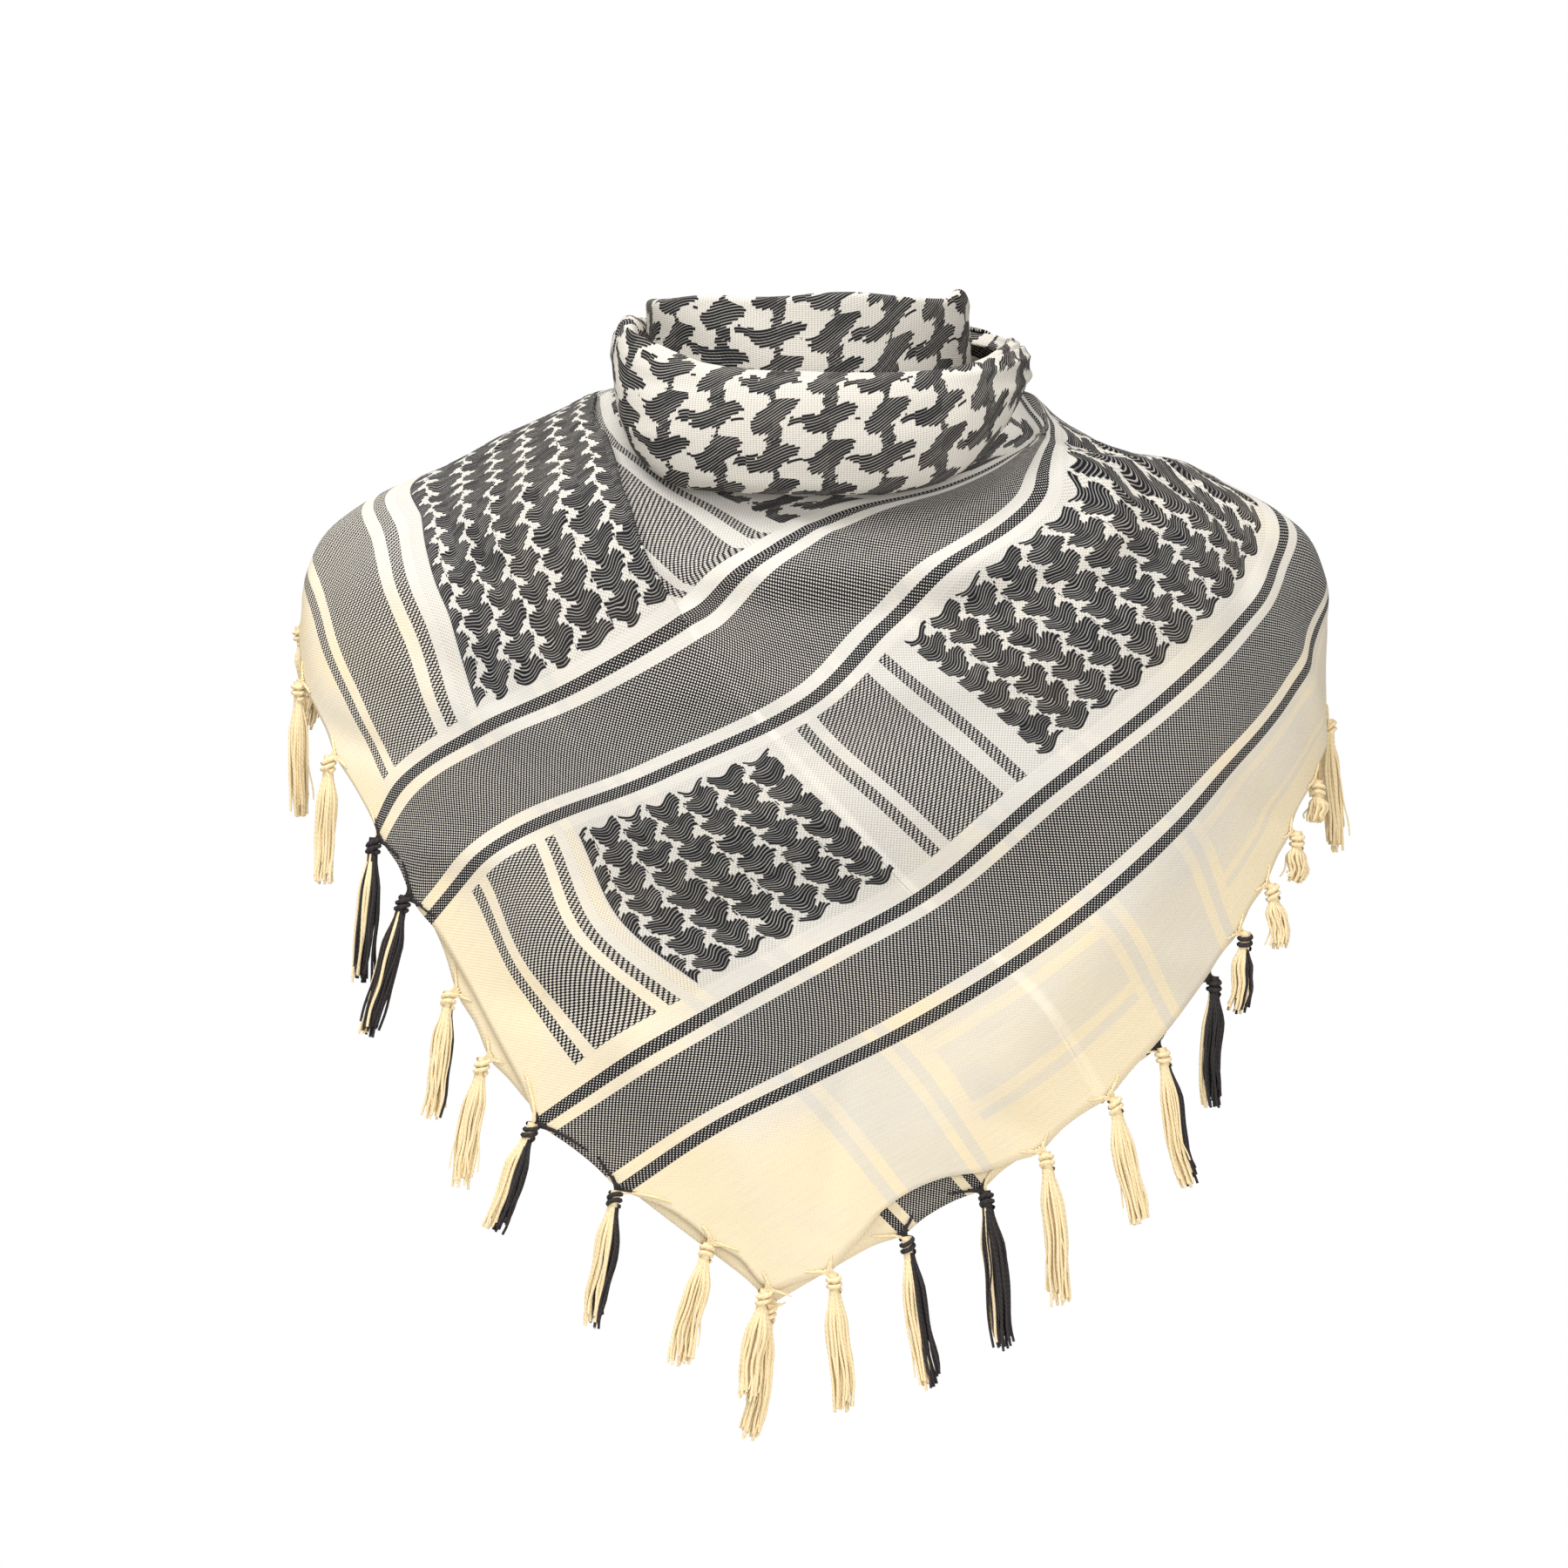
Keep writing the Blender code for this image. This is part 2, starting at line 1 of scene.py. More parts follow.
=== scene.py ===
"""Looks of the keffiyeh scarf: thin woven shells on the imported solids' forms, with knotted tassels.

The tables are in millimetres and degrees, as in the part, and MM turns them to metres. "round" is the
angle about the body's upright axis: 0 in front, -90 at the left of the front view, 180 at the nape.
Every cloth piece has a UV map named weave that holds, in metres, each point's distance in from the
left hem (u) and from the lower right hem (v), so the pattern follows the threads.
"""

import json

import bpy
import numpy as np
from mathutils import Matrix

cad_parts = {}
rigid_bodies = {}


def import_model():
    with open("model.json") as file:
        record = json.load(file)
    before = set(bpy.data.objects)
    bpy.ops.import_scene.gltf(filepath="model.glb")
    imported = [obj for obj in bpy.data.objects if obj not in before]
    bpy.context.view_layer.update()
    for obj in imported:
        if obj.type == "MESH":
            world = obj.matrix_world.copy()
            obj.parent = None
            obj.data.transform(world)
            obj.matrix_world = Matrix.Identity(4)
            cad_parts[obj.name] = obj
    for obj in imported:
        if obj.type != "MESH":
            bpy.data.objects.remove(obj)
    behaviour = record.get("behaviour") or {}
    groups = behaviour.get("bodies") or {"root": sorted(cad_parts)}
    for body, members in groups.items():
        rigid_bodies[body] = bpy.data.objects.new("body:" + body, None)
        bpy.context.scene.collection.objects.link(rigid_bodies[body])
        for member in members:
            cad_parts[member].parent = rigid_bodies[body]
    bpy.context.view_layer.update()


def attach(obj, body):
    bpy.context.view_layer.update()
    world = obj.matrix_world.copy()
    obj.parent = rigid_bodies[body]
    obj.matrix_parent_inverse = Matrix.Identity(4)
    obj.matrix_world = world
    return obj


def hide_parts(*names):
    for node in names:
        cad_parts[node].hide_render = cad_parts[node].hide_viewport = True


for old in list(bpy.data.objects):
    bpy.data.objects.remove(old, do_unlink=True)

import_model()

MM = 0.001

# The forms of the part: its walls and gaps, and how far its cloth reaches.
CLOTH_WALL = 1.2
CAD_WALL = 1.6
LAYER_GAP = 1.1
CLOTH_REACH = 740.0
LAST_LINE = 700.0
LOWER_LAYER_TUCK = 7.0
# The draped figure: height, half widths left and right, depths in front and behind.
BODY = [
    (40, 80, 80, 55, 60), (24, 84, 84, 57, 62), (13, 92, 92, 58, 63), (10, 101, 101, 60, 64),
    (6, 108, 106, 61, 65), (0, 116, 112, 63, 67), (-10, 134, 126, 66, 69), (-20, 155, 143, 70, 73),
    (-30, 175, 168, 75, 77), (-40, 196, 198, 80, 81), (-55, 217, 223, 88, 87),
    (-75, 233, 234, 98, 94), (-100, 241, 237, 108, 101), (-150, 244, 239, 119, 107),
    (-200, 244, 239, 125, 110), (-300, 242, 239, 130, 111), (-460, 240, 239, 130, 111),
]
# How boxy its plan is, by height.
PLAN_POWER = [(40, 1.1), (0, 1.3), (-20, 1.35), (-60, 1.15), (-120, 1.0), (-460, 1.0)]
# Lines of the cloth, by the distance in from the lower right hem: distance from the left hem, round
# and height.
LINES = [
    (0, [(0, -4, -408), (60, 6, -384), (120, 17, -359), (180, 28, -331), (246, 42, -288),
         (301, 52, -248), (368, 65, -200), (410, 74, -172), (450, 88, -143), (540, 113, -100),
         (640, 138, -48), (740, 160, 8)]),
    (80, [(0, -21, -357), (60, -9, -325), (102, 0, -306), (154, 11, -283), (206, 22, -256),
          (246, 30, -234), (312, 44, -192), (347, 51, -170), (415, 67, -132), (486, 82, -95),
          (540, 100, -66), (600, 122, -28), (660, 145, 10)]),
    (126, [(0, -31, -327), (62, -17, -292), (154, 1, -249), (206, 12, -224), (287, 27, -175),
           (362, 44, -130), (425, 59, -92), (479, 72, -60), (520, 88, -37), (565, 106, -16),
           (614, 124, 8)]),
    (180, [(0, -39, -291), (36, -33, -258), (100, -20, -234), (154, -8, -209), (206, 3, -184),
           (287, 18, -136), (394, 42, -70), (445, 62, -40), (490, 86, -16), (560, 106, 12)]),
    (237, [(0, -47, -236), (36, -39, -209), (154, -16, -167), (232, 0, -133), (287, 8, -99),
           (330, 16, -72), (400, 40, -28), (440, 64, -7), (503, 90, 12)]),
    (293, [(0, -56, -190), (36, -52, -171), (102, -38, -143), (154, -26, -123), (197, -16, -100),
           (249, -9, -76), (275, -4, -61), (313, 4, -46), (348, 15, -38), (388, 35, -23),
           (420, 56, -9), (447, 64, 8)]),
    (347, [(0, -69, -146), (36, -62, -128), (102, -45, -92), (154, -35, -70), (197, -26, -49),
           (230, -19, -42), (271, -10, -36), (330, 8, -28), (393, 38, -4)]),
    (405, [(0, -87, -104), (36, -76, -85), (102, -60, -50), (154, -52, -30), (197, -43, -16),
           (240, -36, -10), (335, -14, -10)]),
    (445, [(0, -98, -88), (30, -90, -73), (91, -80, -42), (154, -70, -16), (200, -66, 2),
           (240, -56, 9), (295, -40, 2)]),
    (480, [(0, -107, -80), (53, -97, -54), (91, -92, -34), (150, -89, -8), (200, -82, 9),
           (260, -64, 11)]),
    (560, [(0, -127, -52), (60, -121, -34), (120, -115, -8), (180, -100, 13)]),
    (640, [(0, -143, -20), (100, -128, 11)]),
    (700, [(0, -153, -4), (40, -148, 10)]),
]
# The pleat's edge: across, height and how proud; and how far its swell and its drop reach.
PLEAT = [(-103, 8, 1.0), (-101, -12, 7.0), (-94, -44, 9.0), (-86, -64, 8.5), (-72, -85, 7.0),
         (-46, -114, 4.5), (-14, -136, 1.5)]
PLEAT_REACH = 45.0
PLEAT_DROP = 8.0
# The fold itself stands off a little more than the swell, so that it shades the cloth on its right.
PLEAT_PROUD = 1.35
PLEAT_AT = 205.0
# The fold is open once it is this wide, and its bend is this deep.
PLEAT_OPENS = 5.0
PLEAT_BEND = 1.5
# The cloth slips towards the left hem on the way down: how far, by the distance in from the lower
# right hem, and how much more for each mm in from the left hem.
SLIP = [(0, 8), (100, 12), (143, 9), (226, 2), (300, 11), (400, 12), (740, 12)]
SLIP_RISE = 0.045
# The slip grows over this width from the left hem, and its table holds at the blocks' near edge.
SLIP_GROWS = 90.0
SLIP_FROM = 91.0
# Cloth that the pleat takes up, by the distance in from the lower right hem.
PLEAT_HIDES = [(0, 0), (290, 0), (302, 16), (353, 45), (400, 70), (462, 74), (500, 0), (740, 0)]

# Ridges and creases, by place (round, height): three points of a curve, width and how proud.
RIDGES = [
    # Below the roll, right of the neck and on the right shoulder.
    ((-20, -72), (4, -90), (36, -60), 15, 8.0),
    ((36, -34), (62, -26), (84, -34), 11, 7.0),
    ((62, -10), (78, -42), (86, -96), 16, 6.0),
    ((50, -16), (44, -36), (32, -70), 11, 6.0),
    # Left shoulder, the chest and the folds that run down to the point.
    ((-76, -10), (-84, -42), (-86, -90), 16, 5.0),
    ((-62, -58), (-46, -104), (-26, -122), 18, 4.5),
    ((-30, -176), (4, -196), (40, -168), 26, 5.0),
    ((-40, -190), (-22, -262), (-10, -350), 20, 6.0),
    ((52, -150), (34, -236), (14, -330), 22, 5.0),
    # Gathers behind.
    ((-104, -16), (-122, -22), (-140, -4), 11, 6.0),
    ((-98, -62), (-118, -50), (-142, -18), 13, 7.0),
    ((104, -14), (122, -16), (142, -2), 11, 6.0),
    ((98, -84), (120, -60), (142, -22), 14, 7.0),
]
# The finer ones of the upper layer.
CREASES = [
    # Below the roll and along the pleat.
    ((-12, -56), (2, -66), (16, -58), 5, 1.8),
    ((-16, -84), (6, -102), (30, -82), 8, -2.2),
    ((-8, -44), (-2, -58), (10, -64), 4, 1.6),
    ((-50, -20), (-44, -36), (-32, -50), 6, 1.8),
    ((-56, -44), (-46, -66), (-32, -84), 7, -2.0),
    # Left shoulder and arm, and the waves of the left hem.
    ((-70, -20), (-62, -46), (-56, -76), 6, -1.8),
    ((-92, -34), (-84, -62), (-74, -100), 8, 2.4),
    ((-98, -66), (-88, -96), (-74, -132), 9, -2.4),
    ((-58, -104), (-44, -142), (-24, -156), 10, 2.2),
    ((-70, -140), (-60, -156), (-48, -160), 8, -2.2),
    ((-52, -196), (-42, -208), (-30, -206), 9, 2.4),
    ((-36, -268), (-27, -278), (-16, -272), 10, -2.6),
    # The middle and the point.
    ((-20, -128), (2, -140), (26, -120), 12, 2.2),
    ((-22, -222), (0, -240), (26, -214), 16, -2.6),
    ((-12, -300), (-6, -340), (-4, -396), 9, 2.2),
    ((4, -290), (2, -326), (1, -372), 8, -2.0),
    # Waves of the right hem, and the right arm, shoulder, neck and chest.
    ((18, -312), (22, -330), (27, -330), 8, -2.4),
    ((36, -238), (42, -256), (48, -258), 9, 2.6),
    ((56, -176), (62, -190), (70, -184), 9, -2.6),
    ((62, -92), (74, -120), (82, -158), 10, 2.6),
    ((66, -24), (60, -58), (54, -104), 7, -2.0),
    ((46, -10), (54, -24), (58, -48), 4.5, 2.0),
    ((56, -6), (64, -18), (74, -30), 5, -1.8),
    ((70, -14), (84, -28), (92, -50), 6, 2.2),
    ((30, -94), (46, -106), (62, -82), 11, 2.0),
    # Behind.
    ((-112, -30), (-132, -36), (-150, -16), 8, -3.0),
    ((-106, -90), (-122, -72), (-136, -40), 9, 3.0),
    ((110, -34), (130, -34), (152, -14), 8, -3.0),
    ((104, -104), (124, -76), (142, -38), 9, 3.2),
]

# The roll: round, its lowest and highest height, its half width across and its thickness.
ROLL = [
    (-180, 14, 48, 84, 22), (-135, 13, 48, 87, 20), (-110, 13.8, 48, 90, 16), (-90, 13.8, 46, 94, 17),
    (-80, 7.5, 43, 95, 17), (-71, -9.5, 38, 97, 14), (-61, -23, 32, 99, 18), (-50, -33, 26, 99, 21),
    (-25, -39, 18, 100, 24), (0, -40, 16, 101, 24), (25, -39, 16, 101, 24), (42, -33, 18, 101, 22),
    (55, -22, 22, 101, 19), (66, -8, 27, 101, 15), (77, 5.6, 31, 101, 12), (90, 13.8, 34, 99, 13),
    (110, 13.8, 40, 94, 15), (135, 14, 46, 89, 20), (180, 14, 48, 84, 22),
]
ROLL_DEPTH_FRONT = 102.0
ROLL_DEPTH_BACK = 92.0
ROLL_PLAN_POWER = 0.5
ROLL_TURNED = (-100.0, 140.0)
# Creases along the roll: from and to (round, turned), width in mm and how proud.
ROLL_CREASES = [
    ((-78, 70), (-40, 96), 3.2, 2.0), ((-70, 20), (-30, 44), 4.0, -1.4),
    ((-66, -30), (-36, -8), 3.6, 1.2), ((-20, 62), (30, 74), 4.5, -1.2),
    ((-34, -54), (16, -62), 4.5, 1.3), ((6, 8), (44, 22), 5.0, -1.1),
    ((40, 60), (84, 20), 3.4, 2.4), ((52, 90), (96, 58), 3.2, -2.2),
    ((58, 10), (92, -30), 3.4, 2.0), ((64, 112), (110, 92), 3.4, 2.2),
    ((-104, 60), (-84, 40), 3.2, -2.2), ((-120, 20), (-88, -10), 4.0, 2.2),
    ((120, 30), (170, 44), 5.0, 2.4), ((-170, 40), (-124, 24), 5.0, -2.4),
    ((130, -20), (176, -30), 5.0, -2.0), ((-172, -26), (-130, -30), 5.0, 2.0),
]
# The inner roll: round, its top and its lower edge.
COLLAR = [
    (-180, 50, 16), (-140, 51, 16), (-95, 52, 17), (-60, 53, 16), (-40, 53, 10), (-20, 52, 0),
    (20, 52, 0), (40, 52, 10), (60, 52, 16), (78, 56, 16), (100, 52, 17), (140, 50, 16),
    (180, 50, 16),
]
COLLAR_CENTRE = -3.0
COLLAR_HALF_WIDTH = 75.5
COLLAR_FRONT = 75.0
COLLAR_BACK = 66.0
COLLAR_PLAN_POWER = 0.7
COLLAR_FOLD = 6.0
NAPE = (112.0, 248.0)
NAPE_TURNED = (-70.0, 100.0)

# A tassel's knot, its hanging yarns, the points along each yarn and along the knot's winding, and
# the yarns' radii. The angle from one hanging yarn to the next is the golden angle.
KNOT_RADIUS = 2.6
SEAM_GAP = 0.35
HANGING = 34
YARN_STEPS = 15
KNOT_STEPS = 44
GOLDEN_ANGLE = 2.39996
YARN = 0.85
STRAY_YARN = 0.5
GATHERED_YARN = 0.4
KNOT_YARN = 1.15
CORE = 2.4
# How far the upper layer's hems fall short of the lower layer's, by the distance from the point.
SHORT_LEFT = [(0, 5), (30, 8), (64, 5), (84, 0), (128, 0), (150, 4), (190, 7), (222, 3), (240, 0),
              (740, 0)]
SHORT_RIGHT = [(0, 5), (26, 2), (60, 5), (84, 12), (118, 11), (136, 4), (160, 0), (740, 0)]
# Between two knots the hem draws in by this much, and it reaches out to each knot within this width.
SCALLOP = 2.6
SCALLOP_WIDTH = 11.0
HEM_EASE = 60.0
# Tassels: layer, hem, distance along it, tip across and down, the share of black yarns, and how far
# along the hem its yarns are gathered from.
TASSELS = [
    ("lower", "left", 416, 7, -30, 0.0, 8), ("upper", "left", 374, 3, -59, 0.0, 9),
    ("upper", "left", 330, -1, -56, 0.0, 9), ("upper", "left", 284, -4, -63, 0.92, 15),
    ("upper", "left", 251, -14, -60, 0.8, 16), ("lower", "left", 205, -7, -54, 0.06, 8),
    ("lower", "left", 172, -10, -55, 0.0, 8), ("upper", "left", 128, -16, -45, 0.55, 24),
    ("upper", "left", 82, -9, -58, 0.5, 18), ("upper", "left", 40, -12, -52, 0.0, 9),
    ("upper", "left", 9, -8, -46, 0.0, 8), ("lower", "left", 2, -8, -57, 0.0, 6),
    ("upper", "right", 36, 4, -59, 0.0, 9), ("lower", "right", 80, 9, -65, 0.5, 12),
    ("lower", "right", 128, 8, -68, 0.9, 14), ("upper", "right", 166, 7, -65, 0.0, 9),
    ("upper", "right", 208, 9, -54, 0.0, 9), ("lower", "right", 240, 10, -60, 0.35, 12),
    ("lower", "right", 284, -3, -56, 0.9, 12), ("upper", "right", 312, -5, -34, 0.5, 8),
    ("upper", "right", 342, 2, -26, 0.0, 8), ("upper", "right", 376, -3, -20, 0.0, 8),
    ("upper", "right", 412, -3, -16, 0.0, 8),
]
BACK_FRINGE = {
    "fringe_back_left": ("left", (458, 500, 542, 584, 626)),
    "fringe_back_right": ("right", (452, 494, 536, 578, 620, 662)),
}


def unit(vectors):
    """The vectors with a length of 1."""
    return vectors / np.linalg.norm(vectors, axis=-1, keepdims=True)


def bell(distance, width):
    """A bell across a line: exp of minus the square of the distance over the width."""
    return np.exp(-((distance / width) ** 2))


def cubic(t, step, values, slopes):
    """Cubic between two values with their slopes, at the share t of the step."""
    low = (1 + 2 * t) * (1 - t) ** 2 * values[0] + t * (1 - t) ** 2 * step * slopes[0]
    high = t * t * (3 - 2 * t) * values[1] + t * t * (t - 1) * step * slopes[1]
    return low + high


def smooth_at(x, xs, ys):
    """Cubic curve through the points (xs rising, ys), its slopes those of the neighbouring points."""
    xs = np.asarray(xs, float)
    ys = np.asarray(ys, float)
    slopes = np.gradient(ys, xs, axis=0)
    x = np.clip(np.asarray(x, float), xs[0], xs[-1])
    at = np.clip(np.searchsorted(xs, x, side="right") - 1, 0, len(xs) - 2)
    step = xs[at + 1] - xs[at]
    t = (x - xs[at]) / step
    if ys.ndim == 2:
        t = t[..., None]
        step = step[..., None]
    return cubic(t, step, (ys[at], ys[at + 1]), (slopes[at], slopes[at + 1]))


def table_at(x, rows):
    """The columns of a table at x, which is its first column, in rising or falling order."""
    rows = np.asarray(rows, float)
    if rows[0, 0] > rows[-1, 0]:
        rows = rows[::-1]
    return smooth_at(x, rows[:, 0], rows[:, 1:])


def on_body(round_deg, height):
    """Points of the draped figure: half width times the sine, depth times a power of the cosine."""
    left, right, front, back = np.moveaxis(table_at(height, BODY), -1, 0)
    power = table_at(height, PLAN_POWER)[..., 0]
    angle = np.radians(round_deg)
    side = np.sin(angle)
    ahead = np.cos(angle)
    blend = 0.5 + 0.5 * np.tanh(side / 0.12)
    half = left + (right - left) * blend
    deep = np.where(ahead > 0, front, back)
    along = np.sign(ahead) * np.abs(ahead) ** power
    return np.stack([half * side, -deep * along, height * np.ones_like(side)], axis=-1)


def outward(round_deg, height):
    """Unit normals of the draped figure: its two small steps, round and up, crossed."""
    across = on_body(round_deg + 0.5, height) - on_body(round_deg - 0.5, height)
    up = on_body(round_deg, height + 0.5) - on_body(round_deg, height - 0.5)
    return unit(np.cross(across, up))


def cloth_place(share, line):
    """(round, height) of the cloth: each line at its share of length, then a cubic across the lines."""
    shape = np.shape(share)
    share = np.ravel(share)
    line = np.ravel(line)
    stations = np.array([row[0] for row in LINES], float)
    found = np.array([table_at(share * (CLOTH_REACH - row[0]), row[1]) for row in LINES])
    slopes = np.gradient(found, stations, axis=0)
    at = np.clip(np.searchsorted(stations, line, side="right") - 1, 0, len(stations) - 2)
    each = np.arange(len(share))
    step = (stations[at + 1] - stations[at])[:, None]
    t = (line - stations[at])[:, None] / step
    place = cubic(t, step, (found[at, each], found[at + 1, each]),
                  (slopes[at, each], slopes[at + 1, each]))
    return place.reshape(shape + (2,))


def away_from_path(points, path):
    """Distance from each point to a polyline, the share of its length there, and the side of it."""
    best = np.full(points.shape[:-1], 1e9)
    share = np.zeros(points.shape[:-1])
    side = np.zeros(points.shape[:-1])
    for index in range(len(path) - 1):
        start = path[index]
        run = path[index + 1] - start
        t = np.clip(((points - start) @ run) / (run @ run), 0, 1)
        gap = points - (start + t[..., None] * run)
        distance = np.linalg.norm(gap, axis=-1)
        nearer = distance < best
        best = np.where(nearer, distance, best)
        share = np.where(nearer, (index + t) / (len(path) - 1), share)
        if points.shape[-1] == 2:
            turned = run[0] * gap[..., 1] - run[1] * gap[..., 0]
            side = np.where(nearer, np.sign(turned), side)
    return best, share, side


def ridge_height(points, ridges):
    """Sum of ridges: each a bell across its curved path, fading by a sine towards its ends."""
    proud = np.zeros(points.shape[:-1])
    for first, middle, last, width, tall in ridges:
        t = np.linspace(0, 1, 9)[:, None]
        path = (1 - t) ** 2 * np.array(first) + 2 * t * (1 - t) * np.array(middle)
        path = path + t * t * np.array(last)
        distance, share, _ = away_from_path(points, on_body(path[:, 0], path[:, 1]))
        fade = np.sin(np.pi * np.clip(0.12 + 0.76 * share, 0, 1))
        proud = proud + tall * fade * bell(distance, width)
    return proud


def pleat_height(points):
    """The pleat's swell left of its edge and its short drop on the right: two bells of that reach."""
    edge = np.array(PLEAT, float)
    distance, share, side = away_from_path(points[..., [0, 2]], edge[:, :2])
    tall = np.interp(share, np.linspace(0, 1, len(edge)), edge[:, 2])
    in_front = points[..., 1] < 0
    swell = in_front * tall * bell(distance, PLEAT_REACH)
    drop = in_front * tall * bell(distance, PLEAT_DROP)
    return swell, np.where(side < 0, swell, drop)


def upper_layer(u, v):
    """Outer face of the upper layer without the pleat's overlap, for cloth distances u and v."""
    places = cloth_place(u / (CLOTH_REACH - v), v)
    base = on_body(places[..., 0], places[..., 1])
    proud = ridge_height(base, RIDGES + CREASES) + pleat_height(base)[1]
    return base + outward(places[..., 0], places[..., 1]) * proud[..., None]


def lower_layer(u, v):
    """Outer face of the lower layer: the same lines further in, and lower under the neck roll."""
    places = cloth_place(u / (CLOTH_REACH - v), v)
    height = places[..., 1] - LOWER_LAYER_TUCK * np.clip((places[..., 1] + 25) / 30, 0, 1)
    base = on_body(places[..., 0], height)
    return base - outward(places[..., 0], height) * (CAD_WALL + LAYER_GAP)


def hem_short(layer, hem, distance):
    """How far a hem lies in: the table's shortfall, and a shallow scallop that each knot pulls out."""
    distance = np.asarray(distance, float)
    knots = [row[2] for row in TASSELS if row[:2] == (layer, hem)]
    short = np.zeros(distance.shape)
    if layer == "upper":
        knots += [at for side, places in BACK_FRINGE.values() if side == hem for at in places]
        rows = SHORT_LEFT if hem == "left" else SHORT_RIGHT
        short = np.clip(table_at(distance, rows)[..., 0], 0, None)
    away = np.abs(distance[..., None] - np.array(knots, float)).min(axis=-1)
    return short + SCALLOP * (1 - bell(away, SCALLOP_WIDTH))


def drawn_in(layer, u, v):
    """The cloth distances of a grid whose two hems lie in by hem_short, easing out a hand further in."""
    left = hem_short(layer, "left", v) * np.clip(1 - u / HEM_EASE, 0, 1) ** 2
    right = hem_short(layer, "right", u) * np.clip(1 - v / HEM_EASE, 0, 1) ** 2
    return u + left, v + right


def woven_piece(name, points, weave, material, closed_round=False):
    """A thin shell inwards from the grid of points (mm), with weave (mm) as its UV map."""
    rows, columns = points.shape[:2]
    last = columns if closed_round else columns - 1
    row, column = np.meshgrid(np.arange(rows - 1), np.arange(last), indexing="ij")
    after = (column + 1) % columns
    low = row * columns
    high = low + columns
    quads = np.stack([low + column, low + after, high + after, high + column], axis=-1)
    corners = [weave[row, column], weave[row, column + 1], weave[row + 1, column + 1],
               weave[row + 1, column]]
    made = object_from(name, points.reshape(-1, 3), quads.reshape(-1, 4),
                       np.stack(corners, axis=-2).reshape(-1, 2), [material])
    shell = made.modifiers.new("cloth_wall", "SOLIDIFY")
    shell.thickness = CLOTH_WALL * MM
    shell.offset = -1.0
    return made


def object_from(name, points, faces, uv, materials, which=None):
    """An object at the origin from points (mm), faces, each face corner's UV (mm) and its materials."""
    mesh = bpy.data.meshes.new(name)
    mesh.from_pydata((points * MM).tolist(), [], faces.tolist())
    layer = mesh.uv_layers.new(name="weave")
    layer.data.foreach_set("uv", (uv * MM).astype(np.float32).ravel())
    for material in materials:
        mesh.materials.append(material)
    if which is not None:
        mesh.polygons.foreach_set("material_index", which.astype(np.int32))
    mesh.shade_smooth()
    made = bpy.data.objects.new(name, mesh)
    bpy.context.scene.collection.objects.link(made)
    return made


def hem_frame(layer, hem, distance):
    """A point on a hem's outer face, and the ways past the hem, out of the cloth and along the hem."""
    face = upper_layer if layer == "upper" else lower_layer
    short = hem_short(layer, hem, distance)
    if hem == "left":
        u = short + np.array([0.0, 0.0, 2.0])
        v = distance + np.array([0.0, 2.0, 0.0])
    else:
        u = distance + np.array([0.0, 2.0, 0.0])
        v = short + np.array([0.0, 0.0, 2.0])
    edge, along, inside = face(u, v)
    normal = unit(np.cross(along - edge, inside - edge))
    if hem == "left":
        normal = -normal
    past = unit(np.cross(along - edge, normal))
    if past @ (inside - edge) > 0:
        past = -past
    return edge, past, normal, unit(along - edge)


def plan_point(angle_deg, half, front, back, power, centre):
    """A point of a boxy ring in plan, and the way that points out of it there."""
    angle = np.radians(angle_deg)
    side = np.sin(angle)
    ahead = np.cos(angle)
    deep = np.where(ahead > 0, front, back)
    x = centre + half * side
    y = -deep * np.sign(ahead) * np.abs(ahead) ** power
    return np.stack([x, y], axis=-1), unit(np.stack([side / half, -ahead / deep], axis=-1))


def roll_points(angles, turned, proud):
    """The neck roll: a flattened round section of the table's size, carried round the neck."""
    low, high, half, thick = np.moveaxis(table_at(angles, ROLL), -1, 0)
    plan, out = plan_point(angles, half, ROLL_DEPTH_FRONT, ROLL_DEPTH_BACK, ROLL_PLAN_POWER, 0.0)
    turn = np.radians(turned)
    inward = thick / 2 * (np.cos(turn) - 1) + proud * np.cos(turn)
    height = (low + high) / 2 + ((high - low) / 2 + proud) * np.sin(turn)
    return np.concatenate([plan + out * inward[..., None], height[..., None]], axis=-1)


def roll_proud(angles, turned):
    """The roll's creases: each a bell across a straight line in angle round and angle turned."""
    place = np.stack([angles * 1.7, turned * 0.45], axis=-1)
    proud = np.zeros(angles.shape)
    for first, last, width, tall in ROLL_CREASES:
        path = np.array([first, last], float) * np.array([1.7, 0.45])
        distance, share, _ = away_from_path(place, path)
        fade = np.sin(np.pi * np.clip(0.1 + 0.8 * share, 0, 1))
        proud = proud + tall * fade * bell(distance, width)
    return proud


